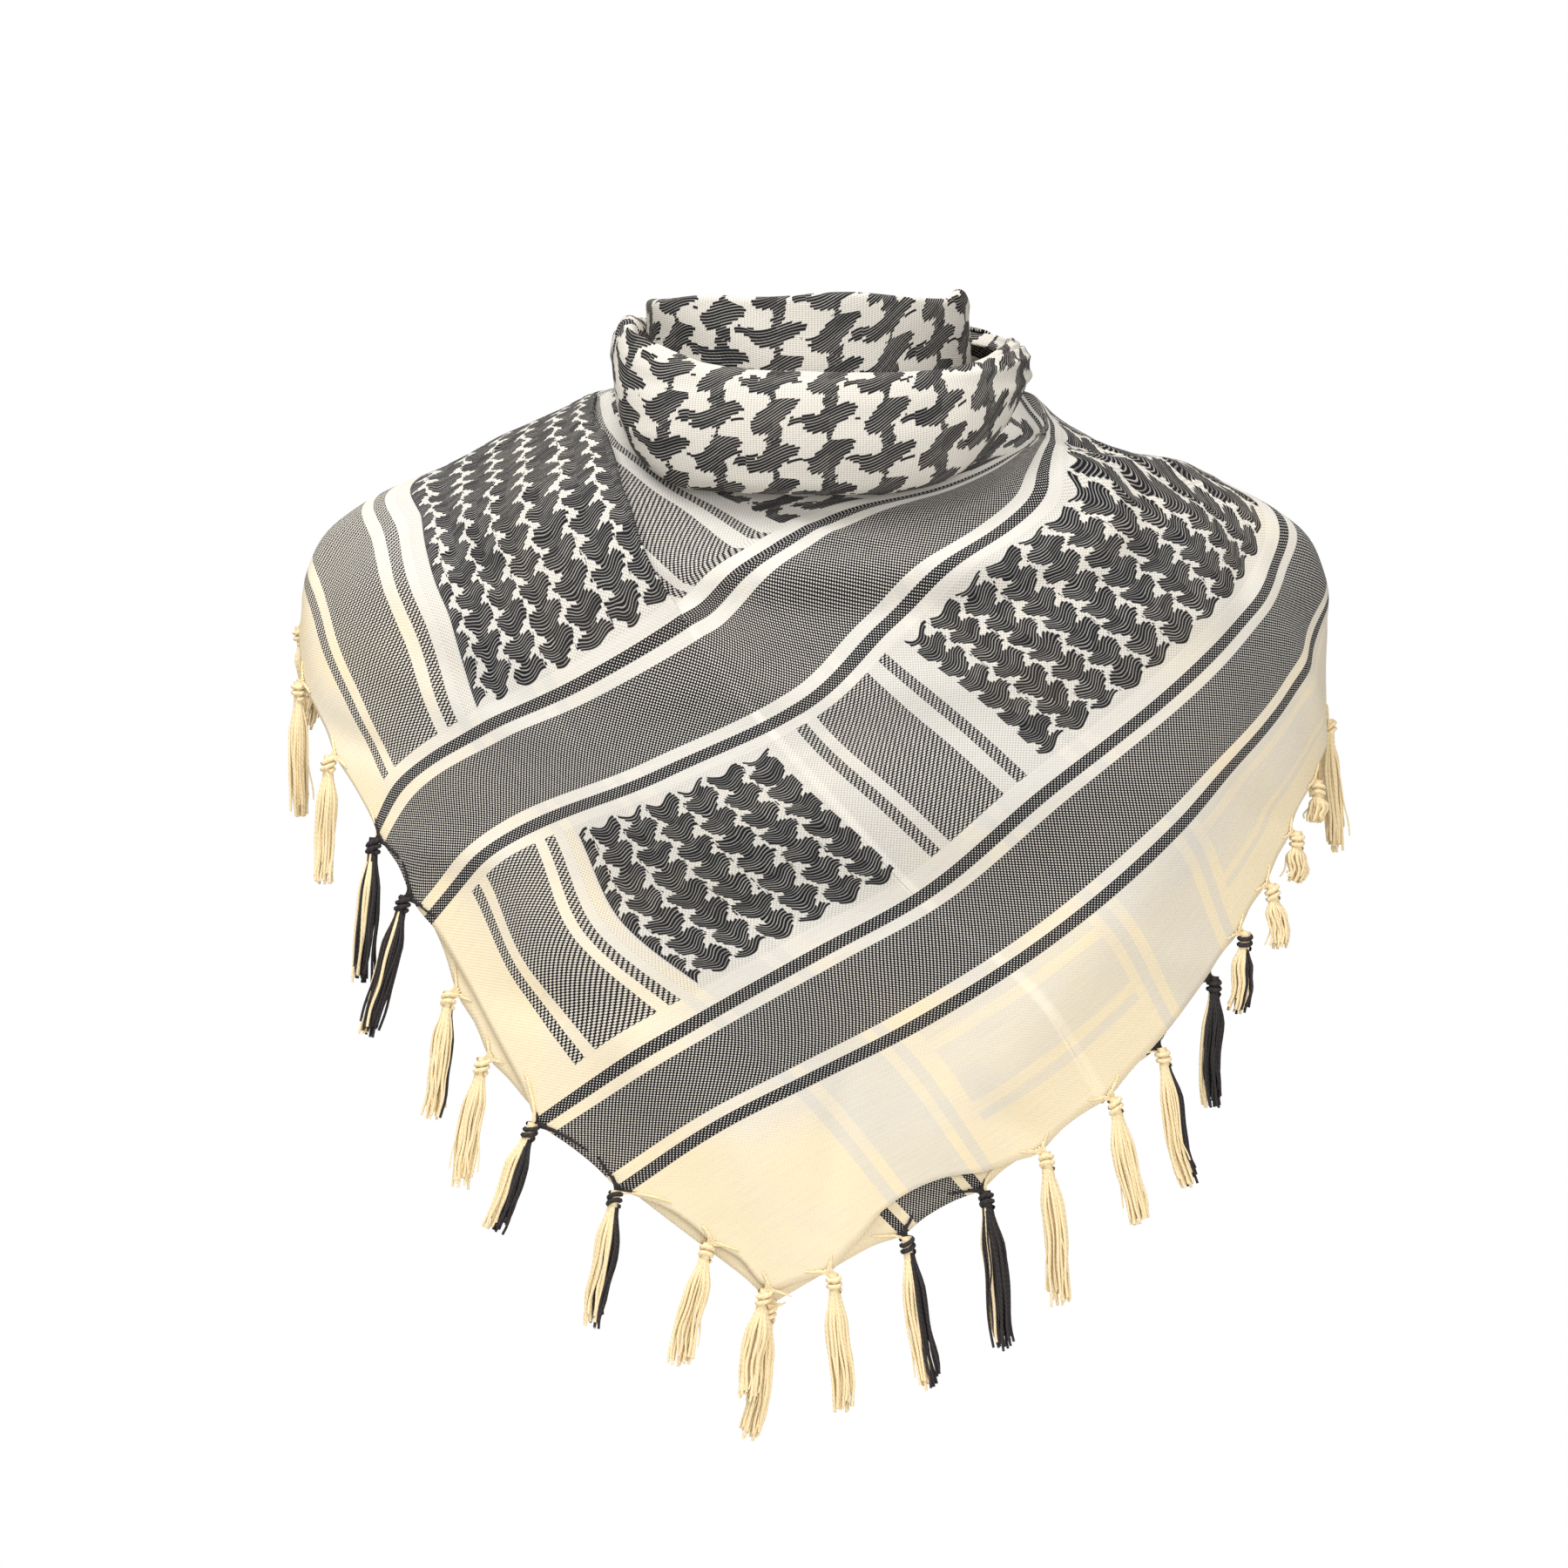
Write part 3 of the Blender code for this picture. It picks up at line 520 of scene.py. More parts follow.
def collar_points(angles):
    """The inner roll: up its outer wall, over a round fold and down its inner wall, row by row."""
    top, low = np.moveaxis(table_at(angles, COLLAR), -1, 0)
    top = top + 0.9 * np.sin(np.radians(angles * 3 + 40)) + 0.6 * np.sin(np.radians(angles * 7))
    top = top + 2.2 * bell(angles - 74, 6)
    plan, out = plan_point(
        angles, COLLAR_HALF_WIDTH, COLLAR_FRONT, COLLAR_BACK, COLLAR_PLAN_POWER, COLLAR_CENTRE
    )
    radius = COLLAR_FOLD / 2
    rows = []
    for share in np.linspace(0, 1, 16):
        swell = np.sin(np.radians(angles * 4) + 5 * share) * share * (1 - share) * 3
        rows.append((swell, low + (top - radius - low) * share))
    for turn in np.radians(np.arange(20, 180, 20)):
        rows.append((radius * (np.cos(turn) - 1) * np.ones_like(top),
                     top - radius + radius * np.sin(turn)))
    for share in np.linspace(1, 0.1, 12):
        rows.append((np.full(angles.shape, -COLLAR_FOLD), low + (top - radius - low) * share))
    grid = []
    for across, height in rows:
        grid.append(np.concatenate([plan + out * across[..., None], height[..., None]], axis=-1))
    return np.array(grid)


def arc_length(points, axis):
    """Running length along an axis of a grid of points, starting at 0."""
    steps = np.linalg.norm(np.diff(points, axis=axis), axis=-1)
    start = np.zeros_like(np.take(steps, [0], axis=axis))
    return np.cumsum(np.concatenate([start, steps], axis=axis), axis=axis)


def straight_threads(points, slant_deg, u_start, v_start):
    """Thread distances on an open piece: its lengths round and across, turned by the slant."""
    around, across = round_and_across(points, False)
    slant = np.radians(slant_deg)
    u = u_start + around * np.cos(slant) + across * np.sin(slant)
    v = v_start - around * np.sin(slant) + across * np.cos(slant)
    return np.stack([u, v], axis=-1)


def round_and_across(points, closed_round):
    """Running lengths of a wound piece's grid: round it along its middle row, and across it."""
    ring = points
    if closed_round:
        ring = np.concatenate([points, points[:, :1]], axis=1)
    middle = ring[len(ring) // 2][None]
    return arc_length(middle, 1) * np.ones(ring.shape[:1] + (1,)), arc_length(ring, 0)


def starry_threads(points, u_start, v_start):
    """Thread distances on a piece wound along the cloth's diagonal, where the starry field lies."""
    around, across = round_and_across(points, True)
    u = u_start + (around / FIELD_ALONG + across / FIELD_UP) / 2
    v = v_start + (across / FIELD_UP - around / FIELD_ALONG) / 2
    return np.stack([u, v], axis=-1)


def srgb(code):
    """An sRGB hex colour as linear RGBA."""
    parts = np.array([int(code[index:index + 2], 16) for index in (0, 2, 4)]) / 255
    linear = np.where(parts <= 0.04045, parts / 12.92, ((parts + 0.055) / 1.055) ** 2.4)
    return (*linear, 1.0)


def add_node(tree, kind, inputs=(), **settings):
    """Adds a node with its settings and links, and returns its first output.

    kind is a node's type or the name of a Math operation. An input is a value, a socket, or a tuple
    that starts with a kind, which is added first.
    """
    if not kind.startswith("ShaderNode"):
        settings["operation"] = kind
        kind = "ShaderNodeMath"
    made = tree.nodes.new(kind)
    for name, value in settings.items():
        setattr(made, name, value)
    pairs = inputs.items() if isinstance(inputs, dict) else enumerate(inputs)
    for place, value in pairs:
        if isinstance(value, tuple) and isinstance(value[0], str):
            value = add_node(tree, value[0], value[1:])
        if isinstance(value, bpy.types.NodeSocket):
            tree.links.new(value, made.inputs[place])
        else:
            made.inputs[place].default_value = value
    return made.outputs[0]


def new_material(name):
    """A material with only its Principled shader and output, for the builder to wire."""
    material = bpy.data.materials.new(name)
    material.use_nodes = True
    tree = material.node_tree
    return material, tree, tree.nodes["Principled BSDF"]


# The weave in mm, as (from, to): bands across the cloth in v, and groups along it in u in some rows
# of v. FAR is past the end of every piece.
FAR = 4000.0
THIN_ACROSS = [(79, 84.5), (125, 130.5), (234, 239.5), (286.5, 292)]
WIDE_ACROSS = [(90, 120), (245, 281)]
THIN_ALONG = [(27, 32.5), (73.5, 79), (207, 212.5), (259, 264.5)]
WIDE_ALONG = [(38, 68), (218, 251)]
GROUP_ROWS = [(139, 229), (298, FAR)]
# A thread's width, and the levels under which the threads' waves are black in bands and groups, whose
# dashes are longer. Dots show over a level: how dark all over, and how much more by the blocks.
THREAD = 0.85
THIN_LEVEL = 0.5
WIDE_LEVEL = 0.28
GROUP_LEVEL = 0.1
GROUP_DASH = 1.5
DOT_LEVEL = 0.35
DOTS_ALL_OVER = 0.1
DOTS_BY_BLOCKS = 0.3
DOTS_START = 84.0
# Float yarns: how far apart, how light the lines between them are and where on the yarn they start,
# and how far the cloth lets the pattern wander.
FLOAT_PITCH = 1.4
FLOAT_GLINT = 0.5
GLINT_LEVEL = 0.45
WANDER = 5.0
WANDER_SCALE = 0.08
# Blocks: where they lie, their light chains' pitch, place, step, swing and half width, and the sag of
# the floats between two chains.
BLOCK_ACROSS = [(91, 192)]
BLOCK_ROWS = [(143, 226), (300, FAR)]
STRIP_ROWS = [(143, 226)]
CHAIN_PITCH = 16.0
CHAIN_PLACE = 1.6
CHAIN_STEP = 12.3
CHAIN_SWING = 3.0
CHAIN_HALF = 1.7
CHAIN_CORNER = 0.8
SAG = 1.5
SAG_ASIDE = 0.9
# The starry field: where it starts, its distances along and up the cloth's diagonal from u - v and
# u + v, and its pitch along and up.
FIELD_FROM_U = 275.0
FIELD_FROM_V = 300.0
FIELD_ALONG = 0.8125
FIELD_UP = 0.578
STAR_ALONG = 26.0
STAR_UP = 18.5
# Its blobs: each size is the mean of the high and the flat kind, and half of their difference.
BLOB_TURN = 0.12
BLOB_RISE = (5.2, 0.9)
BLOB_LIFT = (0.7, 0.7)
BLOB_TALL = (6.6, 0.9)
BLOB_REACH = (12.0, -0.6)
JOIN_HALF = (1.3, 0.9)
JOIN_DROP = 0.7
JOIN_START = 7.5
STRIP_HALF = (2.4, -0.9)
STRIP_ASIDE = 0.4


def within(tree, x, ranges):
    """1 where x lies in one of the ranges, else 0: a Compare with each middle and half, added up."""
    found = 0.0
    for low, high in ranges:
        found = add_node(tree, "ADD", [found, ("COMPARE", x, (low + high) / 2, (high - low) / 2)])
    return found


def by_kind(sizes, kind):
    """A formula for a size of the starry field: its mean, and its difference times the kind (-1 to 1)."""
    return ("ADD", sizes[0], ("MULTIPLY", kind, sizes[1]))


def float_row(tree, thread, cell):
    """One float yarn: its middle, the light line at its edge, and its jagged end in this cell (-1 to 1).

    thread is the distance across the yarns, which lie FLOAT_PITCH apart; cell tells the ends apart.
    """
    number = add_node(tree, "FLOOR", [("DIVIDE", thread, FLOAT_PITCH)])
    middle = add_node(tree, "MULTIPLY", [("ADD", number, 0.5), FLOAT_PITCH])
    spot = add_node(tree, "ShaderNodeCombineXYZ", [number, cell, 0.0])
    chance = add_node(tree, "ShaderNodeTexWhiteNoise", {"Vector": spot}, noise_dimensions="2D")
    jag = add_node(tree, "SUBTRACT", [("MULTIPLY", chance, 2.0), 1.0])
    edge = ("COSINE", ("MULTIPLY", thread, 2 * np.pi / FLOAT_PITCH))
    loose = ("ADD", 0.25, ("MULTIPLY", chance, 0.75))
    light = add_node(tree, "MULTIPLY", [("GREATER_THAN", edge, GLINT_LEVEL), loose])
    return middle, light, jag


def net_yarns(tree, u, v, wander):
    """The blocks' dark floats, cut by zigzag chains, their light lines and where they lie.

    The zigzag is a triangle wave, wider at its corners by a cosine, and the floats between two
    chains sag by a cosine and a sine.
    """
    placed = add_node(tree, "SUBTRACT", [("ADD", u, ("MULTIPLY", wander, 0.5)), CHAIN_PLACE])
    chain = add_node(tree, "ROUND", [("DIVIDE", placed, CHAIN_PITCH)])
    x = add_node(tree, "SUBTRACT", [placed, ("MULTIPLY", chain, CHAIN_PITCH)])
    turn = add_node(tree, "MULTIPLY", [x, 2 * np.pi / CHAIN_PITCH])
    sag = ("SUBTRACT", ("MULTIPLY", ("COSINE", turn), SAG), ("MULTIPLY", ("SINE", turn), SAG_ASIDE))
    thread = add_node(tree, "ADD", [("SUBTRACT", v, sag), wander])
    side = ("ADD", ("MULTIPLY", chain, 2.0), ("GREATER_THAN", x, 0.0))
    middle, light, jag = float_row(tree, thread, side)
    phase = add_node(tree, "ADD", [("DIVIDE", middle, CHAIN_STEP), ("MULTIPLY", chain, 0.5)])
    zigzag = ("SUBTRACT", ("MULTIPLY", ("PINGPONG", phase, 0.5), 4.0), 1.0)
    corner = ("MULTIPLY", ("COSINE", ("MULTIPLY", phase, 4 * np.pi)), CHAIN_CORNER)
    away = ("ABSOLUTE", ("SUBTRACT", x, ("MULTIPLY", zigzag, CHAIN_SWING)))
    gap = ("SUBTRACT", away, ("ADD", CHAIN_HALF, corner))
    dark = add_node(tree, "GREATER_THAN", [gap, ("MULTIPLY", jag, 0.8)])
    block = ("MULTIPLY", within(tree, middle, BLOCK_ROWS), within(tree, u, BLOCK_ACROSS))
    strip = ("MULTIPLY", within(tree, middle, STRIP_ROWS), ("GREATER_THAN", u, FIELD_FROM_U))
    return dark, light, add_node(tree, "MAXIMUM", [block, strip])


def star_yarns(tree, u, v, wander):
    """The starry field's dark floats, their light lines and where they lie.

    A lattice of leaning blobs, high and flat in turn, whose yarns rise by a sine. Each is joined to
    the next by a few yarns and to the one below by a narrow strip, so the ground left is star-shaped.
    """
    along = ("ADD", ("MULTIPLY", ("SUBTRACT", u, v), FIELD_ALONG), ("MULTIPLY", wander, 0.9))
    up = ("ADD", ("MULTIPLY", ("ADD", u, v), FIELD_UP), ("MULTIPLY", wander, 0.5))
    along = add_node(tree, along[0], along[1:])
    up = add_node(tree, up[0], up[1:])
    column = add_node(tree, "ROUND", [("DIVIDE", along, STAR_ALONG)])
    row = add_node(tree, "ROUND", [("DIVIDE", up, STAR_UP)])
    x = add_node(tree, "SUBTRACT", [along, ("MULTIPLY", column, STAR_ALONG)])
    y = add_node(tree, "SUBTRACT", [up, ("MULTIPLY", row, STAR_UP)])
    high = add_node(tree, "COSINE", [("MULTIPLY", ("ADD", column, row), np.pi)])
    rise = add_node(tree, "MULTIPLY", [("SINE", ("MULTIPLY", x, BLOB_TURN)), by_kind(BLOB_RISE, high)])
    thread = add_node(tree, "SUBTRACT", [y, rise])
    side = ("ADD", ("MULTIPLY", column, 2.0), ("GREATER_THAN", x, 0.0))
    middle, light, jag = float_row(tree, thread, ("ADD", side, ("MULTIPLY", row, 37.0)))
    level = ("DIVIDE", ("SUBTRACT", middle, by_kind(BLOB_LIFT, high)), by_kind(BLOB_TALL, high))
    level = ("MINIMUM", 1.0, ("POWER", ("ABSOLUTE", level), 2.0))
    reach = ("MULTIPLY", by_kind(BLOB_REACH, high), ("SUBTRACT", 1.0, level))
    blob = ("SUBTRACT", ("ABSOLUTE", x), reach)
    join = ("SUBTRACT", ("ABSOLUTE", ("ADD", ("ADD", middle, rise), JOIN_DROP)),
            by_kind(JOIN_HALF, ("MULTIPLY", high, ("SIGN", x))))
    join = ("MAXIMUM", join, ("SUBTRACT", JOIN_START, ("ABSOLUTE", x)))
    strip = ("SUBTRACT", ("ABSOLUTE", ("SUBTRACT", x, STRIP_ASIDE)),
             by_kind(STRIP_HALF, ("MULTIPLY", high, ("SIGN", y))))
    nearest = ("MINIMUM", ("MINIMUM", blob, strip), join)
    dark = add_node(tree, "LESS_THAN", [("ADD", nearest, jag), 0.0])
    in_field = ("MULTIPLY", ("GREATER_THAN", v, FIELD_FROM_V), ("GREATER_THAN", u, FIELD_FROM_U))
    return dark, light, add_node(tree, in_field[0], in_field[1:])


def dark_yarn_formulas(tree, u, v):
    """The woven pattern at cloth distances u and v in mm: how dark, the yarns' relief, and its areas.

    Bands are checks of single threads: the product of two sines against a level. Groups are the same
    with longer, slanting dashes.
    """
    row_wave = add_node(tree, "SINE", [("MULTIPLY", v, np.pi / THREAD)])
    weave = add_node(tree, "MULTIPLY", [("SINE", ("MULTIPLY", u, np.pi / THREAD)), row_wave])
    slanting = ("MULTIPLY", ("ADD", u, ("MULTIPLY", v, 0.5)), np.pi / GROUP_DASH)
    dashes = ("MULTIPLY", ("SINE", slanting), row_wave)
    group_rows = within(tree, v, GROUP_ROWS)
    thin_across = within(tree, v, THIN_ACROSS)
    wide_across = within(tree, v, WIDE_ACROSS)
    groups = add_node(tree, "MULTIPLY", [within(tree, u, THIN_ALONG + WIDE_ALONG), group_rows])
    bands = ("MAXIMUM", ("MULTIPLY", thin_across, ("LESS_THAN", weave, THIN_LEVEL)),
             ("MULTIPLY", wide_across, ("LESS_THAN", weave, WIDE_LEVEL)))
    checks = ("MAXIMUM", bands, ("MULTIPLY", groups, ("LESS_THAN", dashes, GROUP_LEVEL)))

    place = add_node(tree, "ShaderNodeCombineXYZ", [u, v, 0.0])
    wander = add_node(tree, "ShaderNodeTexNoise",
                      {"Vector": place, "Scale": WANDER_SCALE, "Detail": 1.0})
    wander = add_node(tree, "MULTIPLY", [("SUBTRACT", wander, 0.5), WANDER])
    net, net_light, in_net = net_yarns(tree, u, v, wander)
    stars, star_light, in_field = star_yarns(tree, u, v, wander)
    floats = add_node(tree, "MAXIMUM", [("MULTIPLY", net, in_net), ("MULTIPLY", stars, in_field)])
    light = add_node(tree, "ADD", [("MULTIPLY", net_light, in_net),
                                   ("MULTIPLY", star_light, in_field)])
    dark = ("MULTIPLY", floats, ("SUBTRACT", 1.0, ("MULTIPLY", light, FLOAT_GLINT)))
    near_floats = ("MAXIMUM", in_field, ("MULTIPLY", group_rows, ("GREATER_THAN", u, DOTS_START)))
    dots = ("MULTIPLY", ("GREATER_THAN", weave, DOT_LEVEL),
            ("ADD", DOTS_ALL_OVER, ("MULTIPLY", DOTS_BY_BLOCKS, near_floats)))
    dark = add_node(tree, "MAXIMUM", [("MAXIMUM", checks, dark), dots])
    raised = ("MULTIPLY", floats, ("SUBTRACT", 0.9, ("MULTIPLY", light, 0.7)))
    relief = add_node(tree, "ADD", [("MULTIPLY", weave, 0.25), raised])
    striped = ("MAXIMUM", ("MAXIMUM", thin_across, wide_across), ("MULTIPLY", groups, 0.8))
    area = add_node(tree, "MAXIMUM", [striped, ("MULTIPLY", ("ADD", in_net, in_field), 0.7)])
    return dark, relief, area


def pattern_group():
    """The woven pattern as a node group, so that the layer behind can be painted as shade showing through,
    by swapping u and v.
    """
    group = bpy.data.node_groups.new("keffiyeh_pattern", "ShaderNodeTree")
    for name in ("u", "v"):
        group.interface.new_socket(name, in_out="INPUT", socket_type="NodeSocketFloat")
    for name in ("dark", "relief", "area"):
        group.interface.new_socket(name, in_out="OUTPUT", socket_type="NodeSocketFloat")
    start = group.nodes.new("NodeGroupInput")
    end = group.nodes.new("NodeGroupOutput")
    found = dark_yarn_formulas(group, start.outputs["u"], start.outputs["v"])
    for place, value in enumerate(found):
        group.links.new(value, end.inputs[place])
    return group


def pattern_at(tree, u, v):
    """The outputs of the woven pattern at the distances u and v."""
    group = tree.nodes.new("ShaderNodeGroup")
    group.node_tree = PATTERN
    tree.links.new(u, group.inputs["u"])
    tree.links.new(v, group.inputs["v"])
    return group.outputs


def mixed(tree, share, first, second):
    """A colour between two, each a socket or an sRGB hex colour, by the share of the second."""
    mix = tree.nodes.new("ShaderNodeMix")
    mix.data_type = "RGBA"
    tree.links.new(share, mix.inputs[0])
    for place, colour in ((6, first), (7, second)):
        if isinstance(colour, str):
            mix.inputs[place].default_value = srgb(colour)
        else:
            tree.links.new(colour, mix.inputs[place])
    return mix.outputs[2]


def weave_distances(tree):
    """The piece's own weave map in mm: its two distances as sockets."""
    weave_map = tree.nodes.new("ShaderNodeUVMap")
    weave_map.uv_map = "weave"
    parts = tree.nodes.new("ShaderNodeSeparateXYZ")
    tree.links.new(weave_map.outputs[0], parts.inputs[0])
    return [add_node(tree, "MULTIPLY", [parts.outputs[place], 1 / MM]) for place in (0, 1)]


def finish_cotton(tree, shader, colour, height, strength, deep):
    """Wires a cotton's colour and its relief, which is deep metres high, and makes it matt."""
    tree.links.new(colour, shader.inputs["Base Color"])
    bump = add_node(tree, "ShaderNodeBump", {"Height": height, "Strength": strength, "Distance": deep})
    tree.links.new(bump, shader.inputs["Normal"])
    shader.inputs["Roughness"].default_value = 0.95
    shader.inputs["Specular IOR Level"].default_value = 0.1


# Cream by the hems: its share at a hem, how far in it reaches and how patchy it is. Near the left hem
# it reaches a little less far than near the right one.
WARM_AT_HEM = 1.3
WARM_REACH = 110.0
WARM_PATCHES = 2.6


def woven_cotton(name, behind):
    """Loose plain-weave cotton, ivory warp and black weft, washed and unstarched.

    The eye sees single threads in the checks, raised black floats with ivory glints between them, a
    warm cream towards the hems, and the layer behind showing through as a painted grey shade of its
    strength (behind).
    """
    material, tree, shader = new_material(name)
    u, v = weave_distances(tree)
    front = pattern_at(tree, u, v)
    back = pattern_at(tree, v, u)
    place = add_node(tree, "ShaderNodeCombineXYZ", [u, v, 0.0])
    patch = add_node(tree, "ShaderNodeTexNoise", {"Vector": place, "Scale": 0.016, "Detail": 3.0})
    drawn_out = ("ShaderNodeCombineXYZ", ("MULTIPLY", u, 0.05), v, 0.0)
    slub = add_node(tree, "ShaderNodeTexNoise", {"Vector": drawn_out, "Scale": 0.9, "Detail": 1.0})
    nearest_hem = ("MINIMUM", v, ("ADD", ("MULTIPLY", u, 1.2), ("MULTIPLY", v, 0.1)))
    warm = add_node(tree, "ADD", [("SUBTRACT", WARM_AT_HEM, ("DIVIDE", nearest_hem, WARM_REACH)),
                                  ("MULTIPLY", ("SUBTRACT", patch, 0.5), WARM_PATCHES)], use_clamp=True)
    # Between black yarns the ground stays ivory.
    warm = add_node(tree, "MULTIPLY", [warm, ("SUBTRACT", 1.0, ("MULTIPLY", front["area"], 0.9))])
    ground = mixed(tree, warm, IVORY, CREAM)
    # Painted show-through shade: the ground turns grey where the layer behind has its bands and blocks, by
    # the strength behind.
    ground = mixed(tree, add_node(tree, "MULTIPLY", [back["area"], behind]), ground, SHOW_THROUGH_SHADE_GREY)
    # Painted shade and highlight: the ground is lighter on raised threads and floats and darker in the
    # weave's hollows; the slubs add a random tone.
    shade = ("ADD", 0.94, ("MULTIPLY", front["relief"], 0.2))
    shade = add_node(tree, "SUBTRACT", [shade, ("MULTIPLY", ("SUBTRACT", slub, 0.5), 0.12)])
    shades = add_node(tree, "ShaderNodeCombineXYZ", [shade, shade, shade])
    ground = add_node(tree, "ShaderNodeVectorMath", [ground, shades], operation="MULTIPLY")
    # Painted sheen: the black yarn turns brownish in the noise's patches, standing in for its sheen.
    black_yarn_sheen_share = add_node(tree, "MULTIPLY", [("SUBTRACT", patch, 0.45), 2.2], use_clamp=True)
    yarn = mixed(tree, black_yarn_sheen_share, BLACK_YARN, BLACK_YARN_SHEEN)
    colour = mixed(tree, front["dark"], ground, yarn)
    finish_cotton(tree, shader, colour, front["relief"], 0.5, 0.0005)
    return material


# The length of one turn of the ply.
PLY_PITCH = 2.4


def yarn_cotton(name, light, shade):
    """Two-ply cotton yarn: the weave map runs along the strand and round it, so the ply's groove winds."""
    material, tree, shader = new_material(name)
    along, around = weave_distances(tree)
    # Painted light and shade: the yarn has its light colour on the plies and its shade colour in the
    # winding groove between them, with a random fuzz in tone.
    ply = add_node(tree, "SINE", [("ADD", ("MULTIPLY", along, 2 * np.pi / PLY_PITCH),
                                   ("MULTIPLY", around, 4 * np.pi))])
    place = tree.nodes.new("ShaderNodeTexCoord").outputs["Object"]
    fuzz = add_node(tree, "ShaderNodeTexNoise", {"Vector": place, "Scale": 900.0, "Detail": 2.0})
    level = add_node(tree, "ADD", [("MULTIPLY", ply, 0.22), ("ADD", 0.3, fuzz)], use_clamp=True)
    finish_cotton(tree, shader, mixed(tree, level, shade, light), level, 0.4, 0.0003)
    return material


def strand_arrays(paths, radius, sides=5):
    """Tubes: a ring of points round each path point, in the plane across the path's direction."""
    count, steps = paths.shape[:2]
    ahead = unit(np.gradient(paths, axis=1))
    first = unit(np.cross(ahead, np.array([0.31, -0.9, 0.27])))
    second = np.cross(ahead, first)
    angle = np.linspace(0, 2 * np.pi, sides, endpoint=False)
    ring = first[:, :, None] * np.cos(angle)[:, None] + second[:, :, None] * np.sin(angle)[:, None]
    points = paths[:, :, None] + ring * radius[..., None, None]
    strand, step, side = np.meshgrid(
        np.arange(count), np.arange(steps - 1), np.arange(sides), indexing="ij"
    )
    base = (strand * steps + step) * sides
    after = (side + 1) % sides
    quads = np.stack([base + side, base + after, base + sides + after, base + sides + side], -1)
    run = arc_length(paths, 1)
    low = run[strand, step]
    high = run[strand, step + 1]
    around = side / sides
    next_around = (side + 1) / sides
    uv = np.stack([np.stack([low, around], -1), np.stack([low, next_around], -1),
                   np.stack([high, next_around], -1), np.stack([high, around], -1)], axis=-2)
    which = strand.reshape(-1)
    return points.reshape(-1, 3), quads.reshape(-1, 4), uv.reshape(-1, 2), which


def tassel_paths(layer, hem, distance, across, down, gather, dice):
    """Paths of one tassel: the hanging yarns, the knot's turns, its core and the yarns gathered to it.

    Each hanging yarn leaves the knot close to the others, spreads by a smooth step and waves a
    little more towards its end. A gathered yarn runs along the hem on the cloth's face and then
    turns into the knot.
    """
    edge, past, normal, along = hem_frame(layer, hem, distance)
    root = edge + past * (KNOT_RADIUS * 0.9 + SEAM_GAP + 1.4) + normal
    tip = root + np.array([across, 0.0, down]) + normal * np.array([3.0, 3.0, 0.0])
    length = np.linalg.norm(tip - root)
    axis = (tip - root) / length
    first = unit(np.cross(axis, normal))
    second = np.cross(axis, first)

    t = np.linspace(0, 1, YARN_STEPS)
    number = np.arange(HANGING)
    angle = number * GOLDEN_ANGLE + dice.uniform(0, 6.28)
    spread = 5.4 * np.sqrt((number + 0.5) / HANGING)
    stray = dice.random(HANGING) < 0.16
    ends = length * (dice.uniform(0.9, 1.02, HANGING) - 0.1 * stray)
    sway = dice.normal(0, 1, (2, HANGING, 1)) * np.where(stray, 2.6, 0.9)[:, None]
    waves = dice.uniform(1.2, 2.8, (2, HANGING, 1))
    phases = dice.uniform(0, 6.28, (2, HANGING, 1))
    opened = np.clip(t / 0.32, 0, 1)
    opened = 0.36 + 0.64 * opened ** 2 * (3 - 2 * opened) - 0.14 * t ** 3
    crimp = np.sin(2 * np.pi * waves * t + phases) * 0.45 * t
    shared = 1.1 * np.sin(2 * np.pi * t * dice.uniform(0.7, 1.2) + dice.uniform(0, 6.28)) * t
    turns = np.stack([np.cos(angle), np.sin(angle)])[:, :, None]
    aside = turns * (spread[:, None] * opened) + sway * t ** 2 + crimp + shared
    reach = 4.5 + (ends[:, None] - 4.5) * t
    hanging = (root + axis * reach[..., None] + first * aside[0][..., None]
               + second * aside[1][..., None] * 0.75)

    wound = np.linspace(0, 2 * np.pi * 2.6, KNOT_STEPS)
    rise = np.linspace(-2.6, 4.6, KNOT_STEPS)
    tilt = 0.9 * np.sin(wound + dice.uniform(0, 6.28))
    fat = 2.7 * (1 - 0.10 * ((rise - 1) / 3.6) ** 2)
    knot = (root + axis * (rise + tilt)[:, None] + first * (fat * np.cos(wound))[:, None]
            + second * (fat * np.sin(wound))[:, None])
    core = root + axis * np.linspace(-3.2, 8.0, YARN_STEPS)[:, None]

    count = 10 + int(gather * 0.8)
    share = np.linspace(-1, 1, count) + dice.uniform(-0.05, 0.05, count)
    starts = distance + share * gather
    s = np.linspace(0, 1, YARN_STEPS)[None]
    run = starts[:, None] + (distance + share * 1.2 - starts)[:, None] * s ** 1.25
    inset = (0.8 + 2.4 * np.abs(share[:, None])) * (1 - s ** 2)
    inset = inset + dice.uniform(0, 1.2, (count, 1)) * (1 - s) + hem_short(layer, hem, run)
    u, v = (inset, run) if hem == "left" else (run, inset)
    face = upper_layer if layer == "upper" else lower_layer
    bow = 0.2 + 0.5 * np.sin(np.pi * s)
    links = face(u, np.clip(v, 0, None)) + normal * bow[..., None]
    turned_in = np.clip((s - 0.72) / 0.28, 0, 1)[..., None] ** 2
    links = links * (1 - turned_in) + (root - axis * 2.0 + along * share[:, None, None]) * turned_in
    return hanging, stray, knot, core, links, starts


